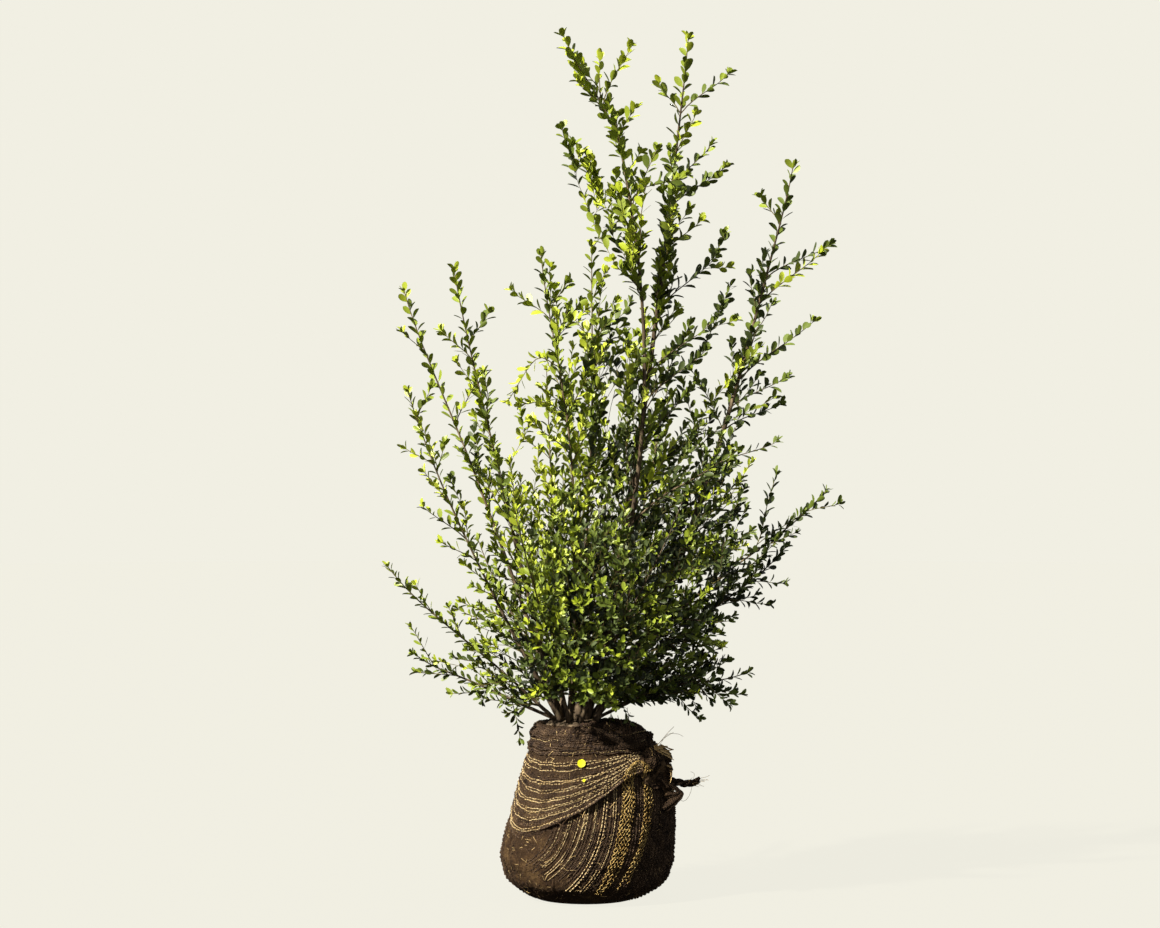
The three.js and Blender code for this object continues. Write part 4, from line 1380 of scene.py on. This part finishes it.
def roughened(name, finish, piece_name, voxel, waves, shrink=0.0):
    """A CAD solid remeshed fine and given the relief of its stuff, as (height, wave length) pairs."""
    corners, faces, _ = cad_shape(name)
    carrier = placed(piece_name, mesh_of(piece_name, corners, faces.tolist()))
    remesh = carrier.modifiers.new("fine", "REMESH")
    remesh.mode, remesh.voxel_size = "VOXEL", voxel
    carrier.modifiers.new("ease", "SMOOTH").iterations = 6
    result = made_plain(carrier)
    spots, normals = mesh_spots(result)
    push = sum(height * ripple(spots, length, 4.0 + 3 * i) for i, (height, length) in enumerate(waves)) - shrink
    result.vertices.foreach_set("co", (spots + normals * push[:, None]).astype(np.float32).ravel())
    result.polygons.foreach_set("use_smooth", [True] * len(result.polygons))
    result.update()
    return settle(result, piece_name, finish, [name])


def mesh_spots(data):
    """The corners of a mesh and the ways they face."""
    spots, normals = np.empty((2, len(data.vertices) * 3), np.float32)
    data.vertices.foreach_get("co", spots)
    data.vertex_normals.foreach_get("vector", normals)
    return spots.reshape(-1, 3).astype(float), normals.reshape(-1, 3).astype(float)


def pleated(count, depth, twist, lumps):
    """Relief for a tube of gathered cloth: a count of sharp creases that turn round it, and lumps."""
    def relief(line, ring, run, angles, fat):
        crease = np.abs(np.sin(count / 2 * angles[None, :] + twist * run[:, None])) - 0.62
        spots = (line[:, None, :] + ring * fat[:, None, None]).reshape(-1, 3)
        return (crease * depth + lumps * ripple(spots, 0.02, 1.0).reshape(crease.shape)) * fat[:, None]
    return relief


def from_knot(out, side, up):
    """A spot so far out from the knot's middle, to its left and above it."""
    return KNOT + KNOT_OUT * out + KNOT_SIDE * side + UP * up


CLOTH_STEP = 1.5 * MM

# Rolls of cloth that run into the knot: from and to, in degrees from it, their heights there and how thick they are.
ROLLS = ((62, 14, 0.2535, 0.238, 0.0062), (50, 8, 0.245, 0.226, 0.007), (34, -16, 0.236, 0.222, 0.0075),
         (-8, -60, 0.232, 0.248, 0.0065))


def make_knot(finish):
    """The knot's loop of gathered cloth, the wad pulled through it, and rolls of cloth that run into it."""
    skin = Skin()
    loop = [from_knot(0.006 * math.sin(3 * a), 0.020 * math.cos(a), 0.023 * math.sin(a))
            for a in np.linspace(0.3, 6.4, 14)]
    skin.tube(evened(loop, CLOTH_STEP), 0.0105, 28, relief=pleated(9, 0.5, 90, 0.12), girth=0.03)
    wad = ((-0.01, 0.004, 0.004), (0.008, 0.002, 0.0), (0.021, 0.006, -0.002))
    droop = ((0.004, -0.008, -0.012), (0.014, 0.002, -0.026), (0.012, 0.014, -0.036))
    for stops, foot, tip, twist, lumps in ((wad, 0.012, 0.008, 60, 0.1), (droop, 0.011, 0.006, 70, 0.15)):
        line = evened([from_knot(*stop) for stop in stops], CLOTH_STEP)
        skin.tube(line, np.linspace(foot, tip, len(line)), 24, relief=pleated(7, 0.5, twist, lumps), girth=0.03)
    for start, end, low, high, fat in ROLLS:
        turn = np.radians(np.linspace(start, end, 40))
        height = np.linspace(low, high, 40) + 0.003 * np.sin(np.linspace(0, 7, 40))
        line = on_wall(*fine(KNOT_AZIMUTH - turn, height, CLOTH_STEP), 0.0015)[0]
        swell = fat * (0.75 + 0.25 * np.sin(np.linspace(0, 9, len(line)) + start))
        swell *= np.sin(np.linspace(0.35, 2.8, len(line)))**0.5
        skin.tube(line, swell, 24, relief=pleated(8, 0.55, 80, 0.15), girth=0.02)
    skin.piece("knot_folds", finish, "jute")


def make_tail(name, finish, fibre_finish):
    """The twisted end of the cloth, three strands laid together, with a frayed tip."""
    corners, _, _ = cad_shape(name)
    order = np.argsort(corners[:, 0])
    count = max(4, len(corners) // 8)
    foot, tip = corners[order[:count]].mean(axis=0), corners[order[-count:]].mean(axis=0)
    way = unit(tip - foot)
    bend = UP * 0.004
    core = evened([foot - way * 0.01, foot * 0.6 + tip * 0.4 - bend, tip * 0.8 + foot * 0.2 - bend * 0.2,
                   tip - way * 0.004 + bend], 0.0013)
    share = np.linspace(0, 1, len(core))
    side = unit(np.cross(way, UP))
    over = np.cross(side, way)
    skin, frayed = Skin(), Skin()
    for k in range(3):
        angle = math.tau * k / 3 + 9.0 * share
        off = side * np.cos(angle)[:, None] + over * np.sin(angle)[:, None]
        strand = core + off * (0.0027 + 0.0012 * share**3)[:, None]
        skin.tube(strand, 0.0031 - 0.0012 * share**2, 12, relief=pleated(5, 0.45, 300, 0.1))
    for _ in range(34):
        start = core[int(rng.uniform(0.62, 0.99) * len(core))] + rng.normal(0, 0.0018, 3)
        aim = unit(way + rng.normal(0, 0.45, 3) + UP * 0.12)
        length = rng.uniform(0.006, 0.015)
        middle = start + aim * length * 0.5 + rng.normal(0, 0.001, 3)
        frayed.tube(evened([start, middle, start + aim * length], 0.0016), 0.00028, 3)
    skin.piece("tail_cloth", finish, "jute", [name])
    frayed.piece("tail_fray", fibre_finish, "jute")


def make_ear(name, finish):
    """A corner of the cloth that sticks out under the knot, folded along its middle, with a turned edge."""
    low, high = box_of(name)
    middle = (low[1] + high[1]) / 2
    foot = np.array([low[0] + 0.004, middle, low[2] + 0.008])
    tip = np.array([high[0] - 0.003, middle, high[2] - 0.004])
    root = KNOT + KNOT_OUT * 0.016 - UP * 0.02
    skin = Skin()
    for share, fat, end in ((0.0, 0.0075, 1.0), (0.5, 0.006, 0.85), (1.0, 0.005, 0.98)):
        start = foot * (1 - share) + root * share
        bulge = start * 0.45 + tip * 0.55 + KNOT_OUT * 0.004 * (1 - share)
        line = evened([start, bulge, start * (1 - end) + tip * end], CLOTH_STEP)
        swell = fat * (1 - 0.72 * np.linspace(0, 1, len(line))**1.4)
        skin.tube(line, swell, 22, relief=pleated(5, 0.6, 25, 0.2), girth=0.02, squash=0.6)
    skin.piece("ear_cloth", finish, "jute", [name])


def make_fibres(straw, brown_straw):
    """Short fibres that stand a little off the cloth all over it."""
    fibre = blade_tree("fibres", 2, 7, [(0, 0), (1, 1)], [(0, 1), (1, 1)],
                       {"Length": 14 * MM, "Width": 0.5 * MM, "Cup": 0.0, "Arch": 0.6})
    for name, finish, count in (("pale_fibres", straw, 900), ("brown_fibres", brown_straw, 2600)):
        azimuth, height = rng.uniform(0, math.tau, count), ball.top * rng.uniform(0.01, 0.985, count)**0.9
        spots, faces = on_wall(azimuth, height, 0.0006)
        level = unit(np.cross(faces, rng.normal(0, 1, (count, 3))))
        along = unit(level + faces * rng.uniform(0.0, 0.35, (count, 1)))
        size = rng.uniform(0.25, 0.95, count)
        sizes = np.stack([rng.uniform(0.7, 1.5, count), size, size * rng.uniform(0.3, 1.6, count)], axis=1)
        scatter(name, fibre, finish, "jute", spots, along, faces + rng.normal(0, 0.4, (count, 3)), sizes)


def make_crumbs(soil_piece, soil, on_top=900, on_cloth=1500, caked=700):
    """Crumbs of soil in the rim and on the cloth, more of them low down, and many where it is caked on one side."""
    spots, normals = mesh_spots(soil_piece.data)
    chosen = rng.choice(np.flatnonzero(normals[:, 2] > 0.2), on_top)
    azimuth, height = rng.uniform(0, math.tau, on_cloth), ball.top * rng.uniform(0.0, 1.0, on_cloth)**1.6
    azimuth[:caked] = KNOT_AZIMUTH - np.radians(rng.uniform(85, 150, caked))
    low, faces = on_wall(azimuth, np.maximum(height, 0.003), 0.0002)
    spots, normals = np.vstack([spots[chosen], low]), np.vstack([normals[chosen], faces])
    size = np.concatenate([rng.uniform(0.4, 1.8, on_top), rng.uniform(0.25, 0.9, on_cloth)])
    sizes = size[:, None] * rng.uniform(0.7, 1.3, (len(size), 3))
    spots[:, 2] = np.maximum(spots[:, 2], 0.0035)
    along = unit(rng.normal(0, 1, (len(size), 3)))
    scatter("soil_crumbs", crumb_tree(), soil, "soil", spots, along, normals, sizes)


def make_straws(straw):
    """Straws caught at the knot's shoulder, and three that hang out of it."""
    tree = blade_tree("straws", 3, 5, [(0, 0), (1, 1)], [(0, 0.7), (0.5, 1), (1, 0.5)],
                      {"Length": 30 * MM, "Width": 2.4 * MM, "Cup": 0.5, "Arch": 0.12})
    caught = range(13)
    feet = [from_knot(0.014 + 0.012 * rng.random(), -0.05 + 0.03 * rng.random(), 0.026 + 0.014 * rng.random())
            for _ in caught]
    aims = [unit(KNOT_SIDE * rng.uniform(0.4, 1) + UP * rng.uniform(-0.7, 0.1) + KNOT_OUT * rng.uniform(0.1, 0.6))
            for _ in caught]
    feet += [from_knot(0.026, -0.006, -0.002), from_knot(0.027, -0.001, -0.001), from_knot(0.026, -0.014, 0.006)]
    aims += [unit(KNOT_SIDE * 0.5 - UP * 0.85), unit(KNOT_SIDE * 0.1 - UP), unit(KNOT_SIDE - UP * 0.3)]
    count = len(feet)
    sizes = np.stack([rng.uniform(0.6, 1.2, count), rng.uniform(0.55, 1.1, count), rng.uniform(0.2, 1.5, count)],
                     axis=1)
    up = KNOT_OUT + rng.normal(0, 0.3, (count, 3))
    scatter("straws", tree, straw, "jute", np.array(feet), np.array(aims), up, sizes)


# Loose hairs at the knot: the spots that each runs through, measured from the knot, and how thick it is.
HAIRS = (
    (((0.008, -0.01, 0.03), (0.014, 0.01, 0.048), (0.02, 0.03, 0.048), (0.022, 0.046, 0.043)), 0.0003),
    (((0.006, -0.014, 0.03), (0.018, 0.0, 0.05), (0.022, 0.016, 0.06)), 0.00035),
    (((0.006, -0.02, 0.03), (0.02, -0.008, 0.046), (0.024, 0.01, 0.052)), 0.00035),
    (((0.024, 0.02, -0.045), (0.028, 0.036, -0.052), (0.03, 0.05, -0.045), (0.03, 0.06, -0.03),
      (0.03, 0.056, -0.022)), 0.0003),
    (((0.03, 0.055, -0.01), (0.03, 0.066, -0.014), (0.03, 0.064, -0.022)), 0.0003))

# Dead twigs at the rim: degrees from the knot, height of the foot, lean to the side, and length.
DEAD_TWIGS = ((16, 0.238, 0.0, 0.05), (22, 0.241, -0.012, 0.036),
              (10, 0.236, 0.012, 0.03), (19, 0.24, 0.006, 0.026))


def make_hairs(straw):
    """The loose hairs at the knot."""
    skin = Skin()
    for stops, fat in HAIRS:
        skin.tube(evened([from_knot(*stop) for stop in stops], 0.002), fat, 3)
    skin.piece("stray_hairs", straw, "jute")


def make_dead_twigs(brown_straw):
    """Dead twigs that stand at the rim beside the knot, each with short spurs."""
    skin = Skin()
    for turn, height, lean, length in DEAD_TWIGS:
        foot = on_wall(np.array([KNOT_AZIMUTH - math.radians(turn)]), np.array([height]))[0][0]
        middle = foot + UP * length * 0.5 + KNOT_SIDE * lean * 0.2
        line = evened([foot, middle, foot + UP * length + KNOT_SIDE * lean - KNOT_OUT * 0.004], 0.003)
        kinks = np.stack([np.sin(np.arange(len(line)) * 1.7 + k + turn) for k in range(3)], axis=1)
        skin.tube(line + 0.0009 * kinks, np.linspace(0.0011, 0.0004, len(line)), 5)
        for _ in range(5):
            start = line[int(rng.uniform(0.2, 1) * (len(line) - 1))]
            aim = unit(rng.normal(0, 1, 3) + UP * 0.5)
            tip = start + aim * 0.009 + rng.normal(0, 0.002, 3)
            skin.tube(evened([start, start + aim * 0.005, tip], 0.002), 0.0003, 3)
    skin.piece("dead_twigs", brown_straw, "bark")


def make_fallen_leaves(yellow):
    """Two yellow leaves caught on the cloth in front, one of them small, and one behind."""
    tree = blade_tree("fallen_leaves", 3, 7, [(0, 0), (1, 1)],
                      [(0, 0.3), (0.15, 0.8), (0.4, 1), (0.7, 0.95), (0.9, 0.6), (1, 0.2)],
                      {"Length": 13 * MM, "Width": 11.5 * MM, "Cup": 0.1, "Arch": 0.08})
    azimuth = KNOT_AZIMUTH - np.radians([66.0, 63.5, 240.0])
    spots, faces = on_wall(azimuth, np.array([0.203, 0.183, 0.12]), 0.0042)
    along = unit(UP + 0.5 * KNOT_SIDE - faces * 0.1)
    sizes = np.array([[1, 1, 1], [0.35, 0.4, 0.5], [0.9, 0.9, 1.0]])
    scatter("fallen_leaves", tree, yellow, "foliage", spots, along, faces, sizes)


# ---------------------------------------------------------------- making everything

bark, twig = bark_finish(), twig_finish()
make_limbs(bark)
make_twigs(bark, twig)
leaves = Leaves()
for shoot in wood.shoots:
    dress(leaves, shoot)
leaves.pieces({tint: leaf_finish(tint) for tint in LEAF_TINTS}, {"green": MASSES})

jute, soil = cloth_finish(), soil_finish()
pale_yarn = yarn_finish("pale_yarn", (112, 90, 60), (178, 152, 106), (228, 208, 164))
brown_yarn = yarn_finish("brown_yarn", (18, 12, 10), (48, 35, 28), (104, 84, 64))
gold_yarn = yarn_finish("golden_yarn", (88, 64, 30), (158, 128, 70), (208, 182, 120))
straw = plain_finish("straw", (186, 158, 108), 0.8)
brown_straw = plain_finish("brown_fibre", (82, 62, 44), 0.9)
make_cloth(jute)
pale, swag, fan, collar, gold = Skin(), Skin(), Skin(), Skin(), Skin()
make_swag_yarns(pale, swag)
make_fan_yarns(pale, fan)
make_collar_yarns(pale, collar)
make_golden_bundles(gold)
pale.piece("pale_yarns", pale_yarn, "jute")
swag.piece("swag_yarns", brown_yarn, "jute")
fan.piece("fan_yarns", brown_yarn, "jute")
collar.piece("collar_yarns", brown_yarn, "jute")
gold.piece("golden_yarns", gold_yarn, "jute")
roughened("stem_base", bark, "stool_bark", 1.6 * MM, ((0.0012, 0.03), (0.0007, 0.011)))
soil_piece = roughened("soil_top", soil, "soil_crumb", 1.6 * MM,
                       ((0.0018, 0.03), (0.0016, 0.012), (0.0009, 0.005)))
roughened("wrap_knot", jute, "knot_cloth", 1.3 * MM, ((0.0016, 0.02), (0.001, 0.008)), shrink=0.004)
make_ear("wrap_ear", jute)
make_knot(jute)
make_tail("wrap_tail", jute, straw)
make_fibres(straw, brown_straw)
make_crumbs(soil_piece, soil)
make_straws(straw)
make_hairs(straw)
make_dead_twigs(brown_straw)
make_fallen_leaves(plain_finish("fallen_leaf", (226, 224, 24), 0.5))


# ---------------------------------------------------------------- floor, backdrop, light, camera

def stage_finish(name, glow, matt):
    """A pale surface that mostly glows, so that it stays even, and takes a faint shadow on the rest."""
    material = bpy.data.materials.new(name)
    material.use_nodes = True
    shader = material.node_tree.nodes["Principled BSDF"]
    shader.inputs["Base Color"].default_value = (*matt, 1.0)
    shader.inputs["Roughness"].default_value = 1.0
    shader.inputs["Specular IOR Level"].default_value = 0.0
    shader.inputs["Emission Color"].default_value = (*glow, 1.0)
    shader.inputs["Emission Strength"].default_value = 1.0
    return material


CREAM = np.array(linear(241, 239, 227))
FLOOR_SHARE = 0.045
STAGE_RADIUS = 14.0
FLOOR_DROP = 0.0006


def make_stage():
    """A round floor inside a ball of the same cream. Neither throws light or shade on the plant."""
    floor, backdrop = bmesh.new(), bmesh.new()
    bmesh.ops.create_circle(floor, cap_ends=True, segments=96, radius=STAGE_RADIUS)
    bmesh.ops.create_uvsphere(backdrop, u_segments=64, v_segments=32, radius=STAGE_RADIUS)
    bmesh.ops.reverse_faces(backdrop, faces=backdrop.faces)
    for name, shape, glow, matt, drop in (("floor", floor, CREAM * (1 - FLOOR_SHARE), CREAM * 0.02, FLOOR_DROP),
                                          ("backdrop", backdrop, CREAM, (0, 0, 0), 0.0)):
        data = bpy.data.meshes.new(name)
        shape.to_mesh(data)
        shape.free()
        data.materials.append(stage_finish("pale_" + name, glow, matt))
        thing = placed(name, data)
        thing.visible_diffuse = thing.visible_glossy = thing.visible_transmission = thing.visible_shadow = False
        thing.location.z = -drop


SKY = ((0.0, (0.06, 0.055, 0.045)), (0.46, (0.17, 0.16, 0.14)),
       (0.56, (0.44, 0.44, 0.43)), (1.0, (0.66, 0.69, 0.72)))
SKY_STRENGTH = 0.72
SUN_POWER, SUN_COLOUR, SUN_SPREAD = 9.0, (1.0, 0.945, 0.82), math.radians(2.5)
SUN_WAY = (0.7, 0.54, -0.72)


def make_light():
    """A soft sky, darker below, and a sun from the upper left."""
    world = bpy.context.scene.world or bpy.data.worlds.new("sky")
    bpy.context.scene.world = world
    world.use_nodes = True
    board = Board(world.node_tree)
    way = board.add("ShaderNodeTexCoord", out="Generated")
    up = board.add("ShaderNodeSeparateXYZ", {}, {0: way}, out=2)
    sky = board.add("ShaderNodeValToRGB", {"stops": SKY}, {"Fac": up * 0.5 + 0.5})
    ground = world.node_tree.nodes.get("Background")
    board.tree.links.new(sky.socket, ground.inputs["Color"])
    ground.inputs["Strength"].default_value = SKY_STRENGTH
    sun = bpy.data.lights.new("sun", "SUN")
    sun.energy, sun.angle, sun.color = SUN_POWER, SUN_SPREAD, SUN_COLOUR
    placed("sun", sun).rotation_euler = Vector(SUN_WAY).to_track_quat("-Z", "Y").to_euler()


CAMERA_DISTANCE, CAMERA_HEIGHT, CAMERA_ASIDE = 4.0, 0.648, -0.009
SHOWN_WIDTH = 1.74


def make_camera():
    """A camera level with the middle of the plant, in front of it."""
    camera = bpy.data.cameras.new("camera")
    camera.sensor_width = 36.0
    camera.lens = camera.sensor_width * CAMERA_DISTANCE / SHOWN_WIDTH
    eye = placed("camera", camera)
    eye.location = (CAMERA_ASIDE, -CAMERA_DISTANCE, CAMERA_HEIGHT)
    eye.rotation_euler = (math.pi / 2, 0, 0)
    bpy.context.scene.camera = eye


make_stage()
make_light()
make_camera()
bpy.context.scene.view_settings.view_transform = "Standard"
